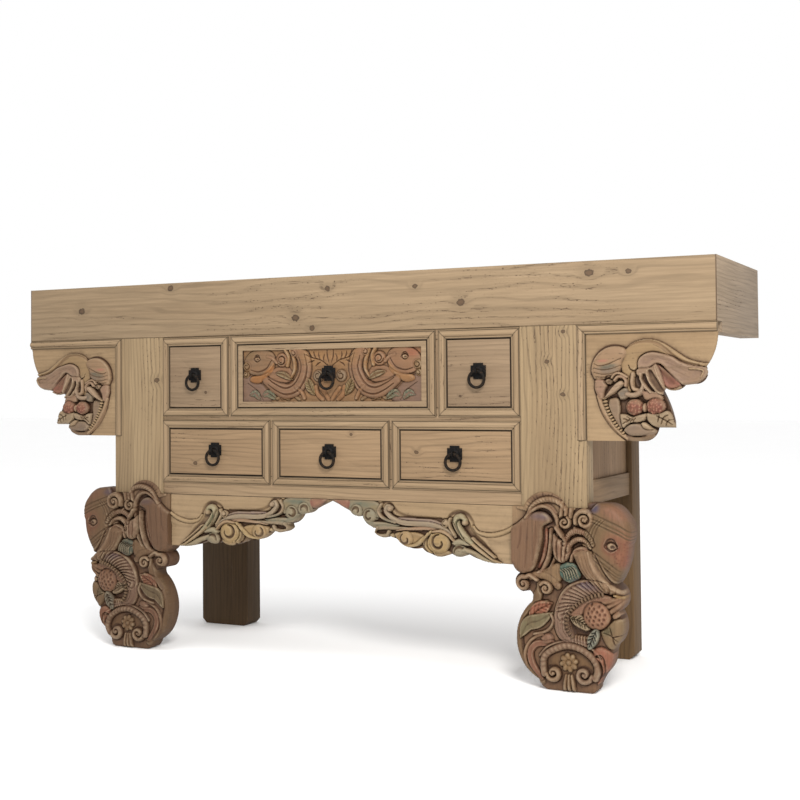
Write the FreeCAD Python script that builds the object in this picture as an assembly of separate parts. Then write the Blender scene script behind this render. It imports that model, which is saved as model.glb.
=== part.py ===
import FreeCAD, Part

import math
import os

from FreeCAD import Vector

# Drawer console with a thick boxed top, elephant legs, elephant wing brackets and ring-pull drawers.
# Millimetres. X runs along the length, Y to the back, Z up. The origin is on the floor, under the middle.

# Overall sizes
LENGTH = 1720.0
HEIGHT = 870.0
DEPTH = 411.0

# Boxed top
FASCIA_H = 129.0
FASCIA_T = 40.0
END_DROP = 21.0
TOP_T = 25.0
TOP_PLANKS = 3
PLANK_GAP = 0.6
BATTEN_W = 50.0
BATTEN_H = 30.0
BATTENS = 5
UNDER_T = 12.0

# Posts and carved legs
POST_W = 141.0
OVERHANG = 266.0
STOCK = 62.0
PROUD = 20.0
LEG_FACE = 6.0
LEG_LAP = 20.0
REAR_INSET = 8.0
FOOT_CHAMFER = 12.0

# Drawer front frame, from the fascia down
FRAME_SET = 3.0
FRAME_T = 25.0
TOP_RAIL_H = 21.5
UPPER_H = 146.0
MIDDLE_RAIL_H = 47.0
LOWER_H = 108.5
BOTTOM_RAIL_H = 47.0
SMALL_W = 147.0
DIVIDER = 45.0
LOWER_BAYS = 3

# Bead moulding round each opening and beside the wings
MOULD_W = 19.5
MOULD_PROUD = 4.0
MOULD_FILLET = 4.5
MOULD_STEP = 1.0
MOULD_QUIRK = 2.0

# Drawers
GAP = 2.3
FRONT_T = 20.0
SIDE_T = 10.0
BOTTOM_T = 6.0
BOTTOM_UP = 8.0
BOX_DEPTH = 300.0
BOX_CLEAR = 18.0
RUN_CLEAR = 0.5
TAILS = 3
TAIL_L = 12.0
TAIL_FLARE = 2.5
PANEL_BORDER = 12.0
PANEL_DEEP = 7.0

# Carcass inside
SHELF_T = 12.0
SHELF_SEAT = 10.0
GUIDE_H = 18.0
BACK_SET = 20.0
BACK_T = 12.0
BACK_PLANKS = 5
SIDE_PANEL_T = 12.0
SIDE_RAIL_H = 50.0
SIDE_RAIL_T = 26.0
SIDE_SET = 14.0

# Joinery
TENON_T = 10.0
TENON_SET = 3.5
TENON_L = 30.0
SIDE_TENON_L = 20.0
SHOULDER = 4.0
STUB_L = 8.0
FIT = 0.2

# Wing brackets and aprons
WING_DROP = 234.0
WING_T = 38.0
WING_PROUD = 12.0
APRON_T = 30.0
APRON_SHARE = 0.329
APRON_PROUD = 9.0
APRON_TIP = 4.0

# Ring pulls
PULL_RISE = 4.0
PLATE_W = 34.0
PLATE_H = 24.0
TAB_W = 22.0
TAB_H = 5.0
PLATE_T = 2.0
BOSS_R = 9.0
BOSS_TOP_R = 6.0
BOSS_H = 3.0
RING_D = 40.0
RING_WIRE = 5.5
EYE_WIRE = 3.2
EYE_CLEAR = 0.6
SHANK_R = 2.0
SPLIT_L = 11.0
SPLIT_T = 1.6

# Derived places
FRONT = (PROUD - DEPTH) / 2
BACK = FRONT + DEPTH
FASCIA_Z = HEIGHT - FASCIA_H
END_Z = FASCIA_Z - END_DROP
UPPER_TOP = FASCIA_Z - TOP_RAIL_H
UPPER_Z = UPPER_TOP - UPPER_H
LOWER_TOP = UPPER_Z - MIDDLE_RAIL_H
LOWER_Z = LOWER_TOP - LOWER_H
LEG_H = LOWER_Z - BOTTOM_RAIL_H
APRON_DROP = APRON_SHARE * LEG_H
BAY = LENGTH - 2 * (OVERHANG + POST_W)
POST_IN = BAY / 2
POST_MID = POST_IN + POST_W / 2
POST_OUT = POST_IN + POST_W
REAR_IN = POST_IN - REAR_INSET
REAR_MID = POST_MID - REAR_INSET
REAR_OUT = POST_OUT - REAR_INSET
LEG_BACK = FRONT + STOCK - PROUD
REAR_FRONT = BACK - STOCK
FRAME_Y = FRONT + FRAME_SET
FRAME_BACK = FRAME_Y + FRAME_T
PANEL_BACK = BACK - BACK_SET
RAIL_BACK = PANEL_BACK - BACK_T
RAIL_FRONT = RAIL_BACK - FRAME_T
TENON_Y = FRAME_Y + TENON_SET
BACK_TENON_Y = RAIL_BACK - TENON_SET - TENON_T
INNER_X = LENGTH / 2 - FASCIA_T
WING_Z = FASCIA_Z - WING_DROP
WING_BACK = FRAME_Y + WING_T
LEG_IN = POST_IN - LEG_LAP
SIDE_X = POST_OUT - SIDE_SET - SIDE_RAIL_T
LOWER_W = (BAY - 2 * MOULD_W - (LOWER_BAYS - 1) * DIVIDER) / LOWER_BAYS
EYE_R = RING_WIRE / 2 + EYE_CLEAR + EYE_WIRE / 2
EYE_Y = FRONT - PLATE_T - BOSS_H - EYE_R - EYE_WIRE / 2
RING_R = (RING_D - RING_WIRE) / 2


def box(x0, x1, y0, y1, z0, z1):
    return Part.makeBox(x1 - x0, y1 - y0, z1 - z0, Vector(x0, y0, z0))


def grown(limits, by):
    """The limits of a box, let out by the same amount on every side."""
    return [limit + (by if index % 2 else -by) for index, limit in enumerate(limits)]


def joined(first, others):
    return first.multiFuse(others).removeSplitter()


def without(first, others):
    return first.cut(others).removeSplitter() if others else first


def mirrored(shape):
    return shape.mirror(Vector(0, 0, 0), Vector(1, 0, 0))


def outline_edges(steps):
    """Edges along an outline: a pair (middle, end) is an arc, a single point ends a straight edge."""
    edges = []
    here = steps[0]
    for step in steps[1:] + steps[:1]:
        if isinstance(step, tuple):
            edges.append(Part.Arc(here, step[0], step[1]).toShape())
            here = step[1]
        else:
            edges.append(Part.LineSegment(here, step).toShape())
            here = step
    return edges


def pushed(steps, along):
    """A closed outline made solid along a vector."""
    return Part.Face(Part.Wire(outline_edges(steps))).extrude(along)


def front_slab(steps, y0, y1):
    """An outline drawn on the XZ plane, made solid from y0 back to y1."""
    solid = pushed(steps, Vector(0, y1 - y0, 0))
    solid.translate(Vector(0, y0, 0))
    return solid


def plan_slab(corners, z0, z1):
    """Straight-sided plan, given as (x, y) corners, made solid from z0 up to z1."""
    return pushed([Vector(x, y, z0) for x, y in corners], Vector(0, 0, z1 - z0))


def disc(at, y_front, y_back, r):
    """A carved roundel: a short drum with a bevelled front edge."""
    drum = Part.makeCylinder(r, y_back - y_front, Vector(at.x, y_front, at.z), Vector(0, 1, 0))
    rim = [edge for edge in drum.Edges if edge.Closed and edge.CenterOfMass.y < y_front + FIT]
    return drum.makeChamfer(min(r, y_back - y_front) / 3, rim)


def dome(at, crown, face, reach):
    """A ball whose crown is at y crown and which meets the plane y face at the radius reach."""
    rise = face - crown
    radius = (reach ** 2 + rise ** 2) / (2 * rise)
    return Part.makeSphere(radius, Vector(at.x, crown + radius, at.z))


def horn(path, radii):
    """A tapering round form lofted through circles square to its path."""
    rings = []
    for index, point in enumerate(path):
        before = path[max(index - 1, 0)]
        after = path[min(index + 1, len(path) - 1)]
        rings.append(Part.Wire(Part.Circle(point, after - before, radii[index]).toShape()))
    return Part.makeLoft(rings, True, False)


def curl(at, y, big_r, small_r, start, end):
    """Part of a hoop in the XZ plane, from start to end degrees, counted from +X towards +Z."""
    hoop = Part.makeTorus(big_r, small_r, Vector(0, 0, 0), Vector(0, 0, 1), -180, 180, end - start)
    hoop.rotate(Vector(0, 0, 0), Vector(0, 0, 1), start)
    hoop.rotate(Vector(0, 0, 0), Vector(1, 0, 0), 90)
    hoop.translate(Vector(at.x, y, at.z))
    return hoop


# Openings of the front frame, as (x0, x1, z0, z1), the upper row and then the lower row
def openings():
    rows = {}
    edge = POST_IN - MOULD_W
    middle = edge - SMALL_W - DIVIDER
    rows["upper_left_drawer"] = (-edge, -edge + SMALL_W, UPPER_Z, UPPER_TOP)
    rows["carved_drawer"] = (-middle, middle, UPPER_Z, UPPER_TOP)
    rows["upper_right_drawer"] = (edge - SMALL_W, edge, UPPER_Z, UPPER_TOP)
    names = ("lower_left_drawer", "lower_middle_drawer", "lower_right_drawer")
    for index, name in enumerate(names):
        x0 = -edge + index * (LOWER_W + DIVIDER)
        rows[name] = (x0, x0 + LOWER_W, LOWER_Z, LOWER_TOP)
    return rows


OPENINGS = openings()


def row_of(z0):
    return sorted(span for span in OPENINGS.values() if span[2] == z0)


def dividers(z0):
    """The x limits of the upright dividers between the openings of one row."""
    row = row_of(z0)
    return [(left[1], right[0]) for left, right in zip(row, row[1:])]


# Boxed top
def fascia():
    half = LENGTH / 2
    plan = [(-half, FRONT), (half, FRONT), (INNER_X, FRONT + FASCIA_T), (-INNER_X, FRONT + FASCIA_T)]
    board = plan_slab(plan, FASCIA_Z, HEIGHT)
    sockets = [box(*grown(post_top_tenon(side, POST_MID, FRONT), FIT)) for side in (-1, 1)]
    return without(board, sockets)


def back_fascia():
    half = LENGTH / 2
    plan = [(-half, BACK), (half, BACK), (INNER_X, BACK - FASCIA_T), (-INNER_X, BACK - FASCIA_T)]
    board = plan_slab(plan, FASCIA_Z, HEIGHT)
    sockets = [box(*grown(post_top_tenon(side, REAR_MID, BACK - FASCIA_T), FIT)) for side in (-1, 1)]
    return without(board, sockets)


def end_board():
    half = LENGTH / 2
    plan = [(half, FRONT), (half, BACK), (INNER_X, BACK - FASCIA_T), (INNER_X, FRONT + FASCIA_T)]
    skirt = box(INNER_X, half, WING_BACK, BACK, END_Z, FASCIA_Z)
    return joined(plan_slab(plan, FASCIA_Z, HEIGHT), [skirt])


def top_planks():
    y0 = FRONT + FASCIA_T
    pitch = (DEPTH - 2 * FASCIA_T) / TOP_PLANKS
    planks = []
    for index in range(TOP_PLANKS):
        start = y0 + index * pitch + (PLANK_GAP if index else 0)
        planks.append(box(-INNER_X, INNER_X, start, y0 + (index + 1) * pitch, HEIGHT - TOP_T, HEIGHT))
    return Part.makeCompound(planks)


def top_battens():
    travel = 2 * INNER_X - BATTEN_W
    z1 = HEIGHT - TOP_T
    battens = []
    for index in range(BATTENS):
        x0 = -INNER_X + travel * index / (BATTENS - 1)
        battens.append(box(x0, x0 + BATTEN_W, FRONT + FASCIA_T, BACK - FASCIA_T, z1 - BATTEN_H, z1))
    return Part.makeCompound(battens)


def underboard():
    return box(-INNER_X, INNER_X, FRONT + FASCIA_T, BACK - FASCIA_T, FASCIA_Z, FASCIA_Z + UNDER_T)


# Tenons, as the limits of a box
def post_top_tenon(side, middle, board_y):
    y0 = board_y + (FASCIA_T - TENON_T) / 2
    x = side * middle
    return [x - POST_W / 4, x + POST_W / 4, y0, y0 + TENON_T, FASCIA_Z, FASCIA_Z + TENON_L]


def post_foot_tenon(side):
    limits = post_top_tenon(side, POST_MID, FRONT)
    return limits[:4] + [LEG_H - TENON_L, LEG_H]


def rail_tenon(side, root, y0, z0, z1):
    xs = sorted((side * root, side * (root + TENON_L)))
    return xs + [y0, y0 + TENON_T, z0 + SHOULDER, z1 - SHOULDER]


def side_rail_tenon(side, y0, y1):
    inner = SIDE_X + (SIDE_RAIL_T - TENON_T) / 2
    xs = sorted((side * inner, side * (inner + TENON_T)))
    return xs + [y0, y1, LEG_H + SHOULDER, LEG_H + SIDE_RAIL_H - SHOULDER]


def stub(x0, x1, z0, z1):
    return [x0 + SHOULDER, x1 - SHOULDER, TENON_Y, TENON_Y + TENON_T, z0, z1]


RAILS = {
    "top_rail": (UPPER_TOP, FASCIA_Z),
    "middle_rail": (LOWER_TOP, UPPER_Z),
    "bottom_rail": (LEG_H, LOWER_Z),
}
FRONT_SIDE_TENON = (LEG_BACK - SIDE_TENON_L, LEG_BACK)
REAR_SIDE_TENON = (REAR_FRONT, REAR_FRONT + SIDE_TENON_L)


def front_post(side):
    xs = sorted((side * POST_IN, side * POST_OUT))
    strip = sorted((side * (POST_OUT - MOULD_W), side * POST_OUT))
    post = box(*xs, FRONT, LEG_BACK, LEG_H, FASCIA_Z)
    post = joined(post, [box(*post_top_tenon(side, POST_MID, FRONT)), box(*post_foot_tenon(side))])
    sockets = [box(*grown(rail_tenon(side, POST_IN, TENON_Y, *span), FIT)) for span in RAILS.values()]
    sockets.append(box(*grown(side_rail_tenon(side, *FRONT_SIDE_TENON), FIT)))
    sockets.append(box(*strip, FRONT, FRAME_Y, WING_Z, FASCIA_Z))
    return without(post, sockets)


def rear_post(side):
    x0, x1 = sorted((side * REAR_IN, side * REAR_OUT))
    corners = [(x0, FASCIA_Z), (x0, FOOT_CHAMFER), (x0 + FOOT_CHAMFER, 0), (x1 - FOOT_CHAMFER, 0),
               (x1, FOOT_CHAMFER), (x1, FASCIA_Z)]
    post = front_slab([Vector(x, 0, z) for x, z in corners], REAR_FRONT, BACK)
    post = joined(post, [box(*post_top_tenon(side, REAR_MID, BACK - FASCIA_T))])
    sockets = [box(*grown(rail_tenon(side, REAR_IN, BACK_TENON_Y, *span), FIT)) for span in RAILS.values()]
    sockets.append(box(*grown(side_rail_tenon(side, *REAR_SIDE_TENON), FIT)))
    return without(post, sockets)


# Front frame
def front_rail(name):
    z0, z1 = RAILS[name]
    rail = box(-POST_IN, POST_IN, FRAME_Y, FRAME_BACK, z0, z1)
    rail = joined(rail, [box(*rail_tenon(side, POST_IN, TENON_Y, z0, z1)) for side in (-1, 1)])
    cuts = []
    if z1 in (UPPER_Z, LOWER_Z):
        cuts.append(box(-POST_IN, POST_IN, FRAME_BACK - SHELF_SEAT, FRAME_BACK, z1 - SHELF_T, z1))
        cuts += [box(*grown(stub(x0, x1, z1 - STUB_L, z1), FIT)) for x0, x1 in dividers(z1)]
    if z0 in (UPPER_TOP, LOWER_TOP):
        below = UPPER_Z if z0 == UPPER_TOP else LOWER_Z
        cuts += [box(*grown(stub(x0, x1, z0, z0 + STUB_L), FIT)) for x0, x1 in dividers(below)]
    return without(rail, cuts)


def stiles(z0, z1):
    """The uprights between the openings of one row, with a stub tenon at each end."""
    group = []
    for x0, x1 in dividers(z0):
        upright = box(x0, x1, FRAME_Y, FRAME_BACK, z0, z1)
        tenons = [box(*stub(x0, x1, z0 - STUB_L, z0)), box(*stub(x0, x1, z1, z1 + STUB_L))]
        group.append(joined(upright, tenons))
    return Part.makeCompound(group)


def bead(inner_a, inner_b, outer_a, outer_b):
    """A strip of bead moulding between an inner and an outer edge, cut to its mitres."""
    along = (inner_b - inner_a).normalize()
    out = along.cross(Vector(0, 1, 0))
    if out.dot(outer_a - inner_a) < 0:
        out = out.negative()
    origin = inner_a - along * MOULD_W

    def at(w, y):
        return origin + out * w + Vector(0, y, 0)

    crown = (MOULD_FILLET + MOULD_W - MOULD_QUIRK) / 2
    section = [
        at(0, FRAME_Y),
        at(0, FRONT - MOULD_STEP),
        at(MOULD_FILLET, FRONT - MOULD_STEP),
        (at(crown, FRONT - MOULD_PROUD), at(MOULD_W - MOULD_QUIRK, FRONT)),
        at(MOULD_W, FRONT),
        at(MOULD_W, FRAME_Y),
    ]
    strip = pushed(section, along * ((inner_b - inner_a).Length + 2 * MOULD_W))
    return strip.common(front_slab([inner_a, inner_b, outer_b, outer_a], FRONT - MOULD_PROUD, FRAME_Y))


def opening_beads(z0):
    """The mitred bead frames of one row of openings."""
    strips = []
    for x0, x1, low, high in row_of(z0):
        inner = [Vector(x, 0, z) for x, z in ((x0, low), (x1, low), (x1, high), (x0, high))]
        x0, x1, low, high = grown((x0, x1, low, high), MOULD_W)
        outer = [Vector(x, 0, z) for x, z in ((x0, low), (x1, low), (x1, high), (x0, high))]
        for index in range(4):
            after = (index + 1) % 4
            strips.append(bead(inner[index], inner[after], outer[index], outer[after]))
    return Part.makeCompound(strips)


def wing_beads():
    """The upright strip on the post's edge and the level strip above the wing, mitred together."""
    edge = POST_OUT - MOULD_W
    under = FASCIA_Z - MOULD_W
    corner_in = Vector(POST_OUT, 0, under)
    corner_out = Vector(edge, 0, FASCIA_Z)
    upright = bead(Vector(POST_OUT, 0, WING_Z), corner_in, Vector(edge, 0, WING_Z), corner_out)
    level = bead(corner_in, Vector(LENGTH / 2, 0, under), corner_out, Vector(LENGTH / 2, 0, FASCIA_Z))
    return Part.makeCompound([upright, level])


# Carcass inside
def shelf(z1):
    return box(-REAR_IN, REAR_IN, FRAME_BACK - SHELF_SEAT, RAIL_FRONT + SHELF_SEAT, z1 - SHELF_T, z1)


def drawer_guides():
    strips = []
    for z0 in (UPPER_Z, LOWER_Z):
        row = row_of(z0)
        spans = [(-REAR_IN, row[0][0])] + dividers(z0) + [(row[-1][1], REAR_IN)]
        for x0, x1 in spans:
            strips.append(box(x0, x1, FRAME_BACK, RAIL_FRONT, z0, z0 + GUIDE_H))
    return Part.makeCompound(strips)


def back_rails():
    group = []
    for z0, z1 in RAILS.values():
        rail = box(-REAR_IN, REAR_IN, RAIL_FRONT, RAIL_BACK, z0, z1)
        rail = joined(rail, [box(*rail_tenon(side, REAR_IN, BACK_TENON_Y, z0, z1)) for side in (-1, 1)])
        if z1 in (UPPER_Z, LOWER_Z):
            seat = box(-REAR_IN, REAR_IN, RAIL_FRONT, RAIL_FRONT + SHELF_SEAT, z1 - SHELF_T, z1)
            rail = without(rail, [seat])
        group.append(rail)
    return Part.makeCompound(group)


def back_panel():
    pitch = 2 * REAR_IN / BACK_PLANKS
    planks = []
    for index in range(BACK_PLANKS):
        x0 = -REAR_IN + index * pitch
        planks.append(box(x0 + (PLANK_GAP if index else 0), x0 + pitch, RAIL_BACK, PANEL_BACK, LEG_H, FASCIA_Z))
    return Part.makeCompound(planks)


def side_rail(side):
    xs = sorted((side * SIDE_X, side * (SIDE_X + SIDE_RAIL_T)))
    rail = box(*xs, LEG_BACK, REAR_FRONT, LEG_H, LEG_H + SIDE_RAIL_H)
    return joined(rail, [box(*side_rail_tenon(side, *ends)) for ends in (FRONT_SIDE_TENON, REAR_SIDE_TENON)])


def side_panel(side):
    inner = SIDE_X + (SIDE_RAIL_T - SIDE_PANEL_T) / 2
    xs = sorted((side * inner, side * (inner + SIDE_PANEL_T)))
    return box(*xs, LEG_BACK, REAR_FRONT, LEG_H + SIDE_RAIL_H, FASCIA_Z)


# Drawers
def pull_place(span):
    x0, x1, z0, z1 = span
    return (x0 + x1) / 2, (z0 + z1) / 2 + PULL_RISE


def tails(x0, x1, z0, z1):
    """Dovetails at the front of a drawer side, wider at their tips."""
    root = FRONT + FRONT_T
    pitch = (z1 - z0) / TAILS
    group = []
    for index in range(TAILS):
        middle = z0 + (index + 1 / 2) * pitch
        half = pitch / 4
        corners = [(root, middle - half), (root, middle + half), (root - TAIL_L, middle + half + TAIL_FLARE),
                   (root - TAIL_L, middle - half - TAIL_FLARE)]
        group.append(pushed([Vector(x0, y, z) for y, z in corners], Vector(x1 - x0, 0, 0)))
    return group


def drawer_sides(span):
    """The x limits of the two sides and the z limits that they share with the dovetails."""
    x0, x1, z0, z1 = span
    left = (x0 + GAP, x0 + GAP + SIDE_T)
    right = (x1 - GAP - SIDE_T, x1 - GAP)
    return left, right, z0 + GAP, z1 - BOX_CLEAR


def drawer_box(span):
    z0 = span[2]
    left, right, tail_z, top = drawer_sides(span)
    y0 = FRONT + FRONT_T
    y1 = y0 + BOX_DEPTH
    floor = z0 + BOTTOM_UP
    pieces = []
    for x0, x1 in (left, right):
        side = box(x0, x1, y0, y1, z0 + RUN_CLEAR, top)
        pieces.append(joined(side, tails(x0, x1, tail_z, top)))
    pieces.append(box(left[1], right[0], y1 - SIDE_T, y1, floor + BOTTOM_T, top))
    pieces.append(box(left[1], right[0], y0, y1, floor, floor + BOTTOM_T))
    return Part.makeCompound(pieces)


def drawer_front(span):
    x0, x1, z0, z1 = span
    board = box(x0 + GAP, x1 - GAP, FRONT, FRONT + FRONT_T, z0 + GAP, z1 - GAP)
    left, right, tail_z, top = drawer_sides(span)
    x, z = pull_place(span)
    hole = Part.makeCylinder(SHANK_R + FIT, FRONT_T, Vector(x, FRONT, z), Vector(0, 1, 0))
    return without(board, tails(*left, tail_z, top) + tails(*right, tail_z, top) + [hole])


# The sunk picture on the middle upper drawer: two elephants face to face. Places are shares of the field's
# width and height, radii are shares of its height, and a curl ends with its first and last angle.
PICTURE_HEAD = (0.40, 0.52, 0.34)
PICTURE_TRUNK = (0.22, 0.55, 0.324, 0.068, 180, 360)
PICTURE_ROSETTE = (0.085, 0.40, 0.102)


def carved_front(span):
    x0, x1, z0, z1 = grown(span, -GAP - PANEL_BORDER)
    floor = FRONT + PANEL_DEEP
    wide = x1 - x0
    tall = z1 - z0
    x, z = pull_place(span)

    def place(side, u, v):
        return Vector(x + side * u * wide, 0, z0 + v * tall)

    field = box(x0, x1, FRONT, floor, z0, z1)
    pad = box(x - PLATE_W / 2, x + PLATE_W / 2, FRONT, floor, z - PLATE_H / 2 - TAB_H, z + PLATE_H / 2 + TAB_H)
    raised = [pad]
    for side in (-1, 1):
        u, v, reach = PICTURE_HEAD
        raised.append(dome(place(side, u, v), FRONT, floor, reach * tall))
        u, v, big, small, start, end = PICTURE_TRUNK
        raised.append(curl(place(side, u, v), floor, big * tall, small * tall, start, end))
        u, v, r = PICTURE_ROSETTE
        raised.append(disc(place(side, u, v), FRONT + PANEL_DEEP / 3, floor, r * tall))
    hole = Part.makeCylinder(SHANK_R + FIT, FRONT_T, Vector(x, FRONT, z), Vector(0, 1, 0))
    picture = pad.multiFuse([shape.common(field) for shape in raised[1:]]).cut([hole])
    return joined(without(drawer_front(span), [field]), picture.Solids)


# Ring pulls
def pull_plate(span):
    """The stepped plate with its boss, and the split pin whose eye holds the ring."""
    x, z = pull_place(span)
    half_h = PLATE_H / 2
    back = FRONT - PLATE_T
    plate = box(x - PLATE_W / 2, x + PLATE_W / 2, back, FRONT, z - half_h, z + half_h)
    tabs = box(x - TAB_W / 2, x + TAB_W / 2, back, FRONT, z - half_h - TAB_H, z + half_h + TAB_H)
    boss = Part.makeCone(BOSS_R, BOSS_TOP_R, BOSS_H, Vector(x, back, z), Vector(0, -1, 0))
    hole = Part.makeCylinder(SHANK_R + FIT, PLATE_T + BOSS_H, Vector(x, FRONT, z), Vector(0, -1, 0))
    plate = without(joined(plate, [tabs, boss]), [hole])
    eye = Part.makeTorus(EYE_R, EYE_WIRE / 2, Vector(x, EYE_Y, z), Vector(1, 0, 0))
    inside = FRONT + FRONT_T
    shank_y = EYE_Y + EYE_R
    shank = Part.makeCylinder(SHANK_R, inside - shank_y, Vector(x, shank_y, z), Vector(0, 1, 0))
    split = box(x - SPLIT_L, x + SPLIT_L, inside, inside + SPLIT_T, z - SHANK_R, z + SHANK_R)
    return Part.makeCompound([plate, joined(eye, [shank, split])])


def pull_ring(span):
    x, z = pull_place(span)
    return Part.makeTorus(RING_R, RING_WIRE / 2, Vector(x, EYE_Y, z - RING_R), Vector(0, 1, 0))


# Carved legs: u counts post widths from the post's middle, v counts leg heights from the floor. Radii are
# shares of the post's width, rises are shares of the carving's, and a curl ends with its first and last angle.
# The hood and the tops of the ear's folds have u and their depth below the leg's top, in post widths.
LEG_EAR = ((-0.36, 0.21), (-0.44, 0.63), 0.176, 0.9)
LEG_FOLD = ((-0.06, 0.29), (-0.17, 0.67), 0.10, 0.65)
LEG_HOOD = (-0.16, 0.171, 0.313, 0.063, 0.62, 15, 165)
LEG_CURLS = ((0.40, 0.78, 0.176, 0.058, 10, 190), (0.55, 0.43, 0.384, 0.121, 70, 265))
LEG_TUSK = ((0.42, 0.76), (0.55, 0.645), (0.75, 0.575), (0.98, 0.55))
LEG_TUSK_R = (0.113, 0.092, 0.063, 0.029)
LEG_DOMES = ((0.83, 0.81, 1.0, 0.326), (0.63, 0.43, 1.0, 0.176), (0.20, 0.16, 0.9, 0.326),
             (-0.22, 0.30, 0.6, 0.355), (0.84, 0.365, 0.75, 0.171))
LEG_ROUNDELS = ((0.46, 0.92, 0.85, 0.171), (0.14, 0.91, 0.7, 0.10), (-0.49, 0.578, 0.75, 0.121),
                (-0.13, 0.56, 0.65, 0.105), (-0.01, 0.10, 0.95, 0.092), (0.40, 0.10, 0.95, 0.092))


def leg_at(u, v):
    return Vector(POST_MID + u * POST_W, 0, v * LEG_H)


def under_post(u, sink):
    return leg_at(u, 1) - Vector(0, 0, sink * POST_W)


def leg_outline():
    def arc(mid, end):
        return leg_at(*mid), leg_at(*end)

    return [
        Vector(LEG_IN, 0, LEG_H),
        Vector(LEG_IN, 0, LEG_H - APRON_DROP),
        arc((-0.605, 0.648), (-0.543, 0.631)),
        arc((-0.62, 0.577), (-0.50, 0.528)),
        leg_at(-0.394, 0.536),
        arc((-0.344, 0.501), (-0.40, 0.464)),
        arc((-0.606, 0.283), (-0.465, 0.113)),
        arc((-0.365, 0.078), (-0.266, 0.054)),
        arc((-0.21, 0.016), (-0.11, 0.0)),
        leg_at(0.514, 0.0),
        arc((0.58, 0.011), (0.606, 0.04)),
        arc((0.649, 0.073), (0.727, 0.116)),
        arc((0.826, 0.178), (0.848, 0.237)),
        leg_at(0.876, 0.264),
        arc((1.004, 0.377), (0.933, 0.453)),
        arc((1.032, 0.531), (0.918, 0.596)),
        arc((1.074, 0.728), (1.103, 0.809)),
        arc((1.145, 0.889), (1.046, 0.97)),
        arc((0.911, 1.016), (0.741, 1.027)),
        leg_at(0.5, 1.027),
        Vector(POST_OUT, 0, LEG_H),
    ]


def lobe(top, foot, r, rise):
    """A long rounded fold that stands out by rise: a leaning bar with half-ball ends."""
    r = r * POST_W
    lift = Vector(0, FRONT - rise * PROUD + r, 0)
    start = under_post(*top) + lift
    end = leg_at(*foot) + lift
    along = (end - start).normalize() * r
    out = Vector(0, r, 0)
    half = math.sqrt(2) / 2
    first = Part.Arc(start - along, start + (out - along) * half, start + out).toShape()
    last = Part.Arc(end + out, end + (out + along) * half, end + along).toShape()
    side = Part.makeLine(start + out, end + out)
    axis = Part.makeLine(end + along, start - along)
    return Part.Face(Part.Wire([first, side, last, axis])).revolve(start, along, 360)


def hood():
    """The arch over the ear, on a low field that stands in front of the post's foot."""
    u, sink, big, small, rise, start, end = LEG_HOOD
    at = under_post(u, sink)
    big_r = big * POST_W
    small_r = small * POST_W
    field_r = big_r - small_r / 3
    field = Part.makeCylinder(field_r, LEG_FACE, Vector(at.x, FRONT - LEG_FACE / 2, at.z), Vector(0, 1, 0))
    arch = curl(at, FRONT - rise * PROUD + small_r, big_r, small_r, start, end)
    room = box(LEG_IN, POST_OUT, FRONT - PROUD, FRONT, 0, FASCIA_Z)
    return [field.common(room), arch.common(room)]


def leg_carving():
    face = FRONT - LEG_FACE
    outline = leg_outline()
    block = front_slab(outline, face, LEG_BACK)
    room = front_slab(outline, FRONT - 2 * PROUD, LEG_BACK)
    shaped = [lobe(*LEG_EAR), lobe(*LEG_FOLD)]
    for u, v, share, reach in LEG_DOMES:
        shaped.append(dome(leg_at(u, v), FRONT - share * PROUD, face, reach * POST_W))
    tusk = [leg_at(u, v) + Vector(0, face, 0) for u, v in LEG_TUSK]
    shaped.append(horn(tusk, [r * POST_W for r in LEG_TUSK_R]))
    raised = hood() + [shape.common(room) for shape in shaped]
    for u, v, share, r in LEG_ROUNDELS:
        raised.append(disc(leg_at(u, v), FRONT - share * PROUD, FRONT, r * POST_W))
    for u, v, big, small, start, end in LEG_CURLS:
        small_r = small * POST_W
        raised.append(curl(leg_at(u, v), FRONT - PROUD + small_r, big * POST_W, small_r, start, end))
    socket = box(*grown(post_foot_tenon(1), FIT))
    return without(joined(block, raised), [socket])


# Wing brackets: u runs from the post to the end of the top, v from the wing's foot up to the fascia. Radii are
# shares of the wing's drop, rises are shares of the carving's, and a curl ends with its first and last angle.
WING_DOMES = ((0.20, 0.64, 1.0, 0.18), (0.52, 0.64, 0.9, 0.265), (0.40, 0.12, 0.6, 0.128),
              (0.62, 0.15, 0.5, 0.103))
WING_FRUITS = ((0.37, 0.30, 1.0, 0.073), (0.53, 0.305, 1.0, 0.081))
WING_TRUNK = (0.40, 0.40, 0.32, 0.047, 170, 255)
WING_EAR = (0.47, 0.62, 0.192, 0.03, 20, 200)


def wing_at(u, v):
    return Vector(POST_OUT + u * OVERHANG, 0, WING_Z + v * WING_DROP)


def wing_outline():
    def arc(mid, end):
        return wing_at(*mid), wing_at(*end)

    return [
        wing_at(0, 0),
        wing_at(0, 1),
        wing_at(1, 1),
        wing_at(1, 0.889),
        arc((0.974, 0.748), (0.914, 0.624)),
        arc((0.915, 0.535), (0.831, 0.479)),
        wing_at(0.759, 0.47),
        arc((0.692, 0.427), (0.613, 0.444)),
        wing_at(0.59, 0.406),
        arc((0.639, 0.29), (0.684, 0.115)),
        wing_at(0.556, 0.115),
        arc((0.53, 0.045), (0.444, 0)),
    ]


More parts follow.
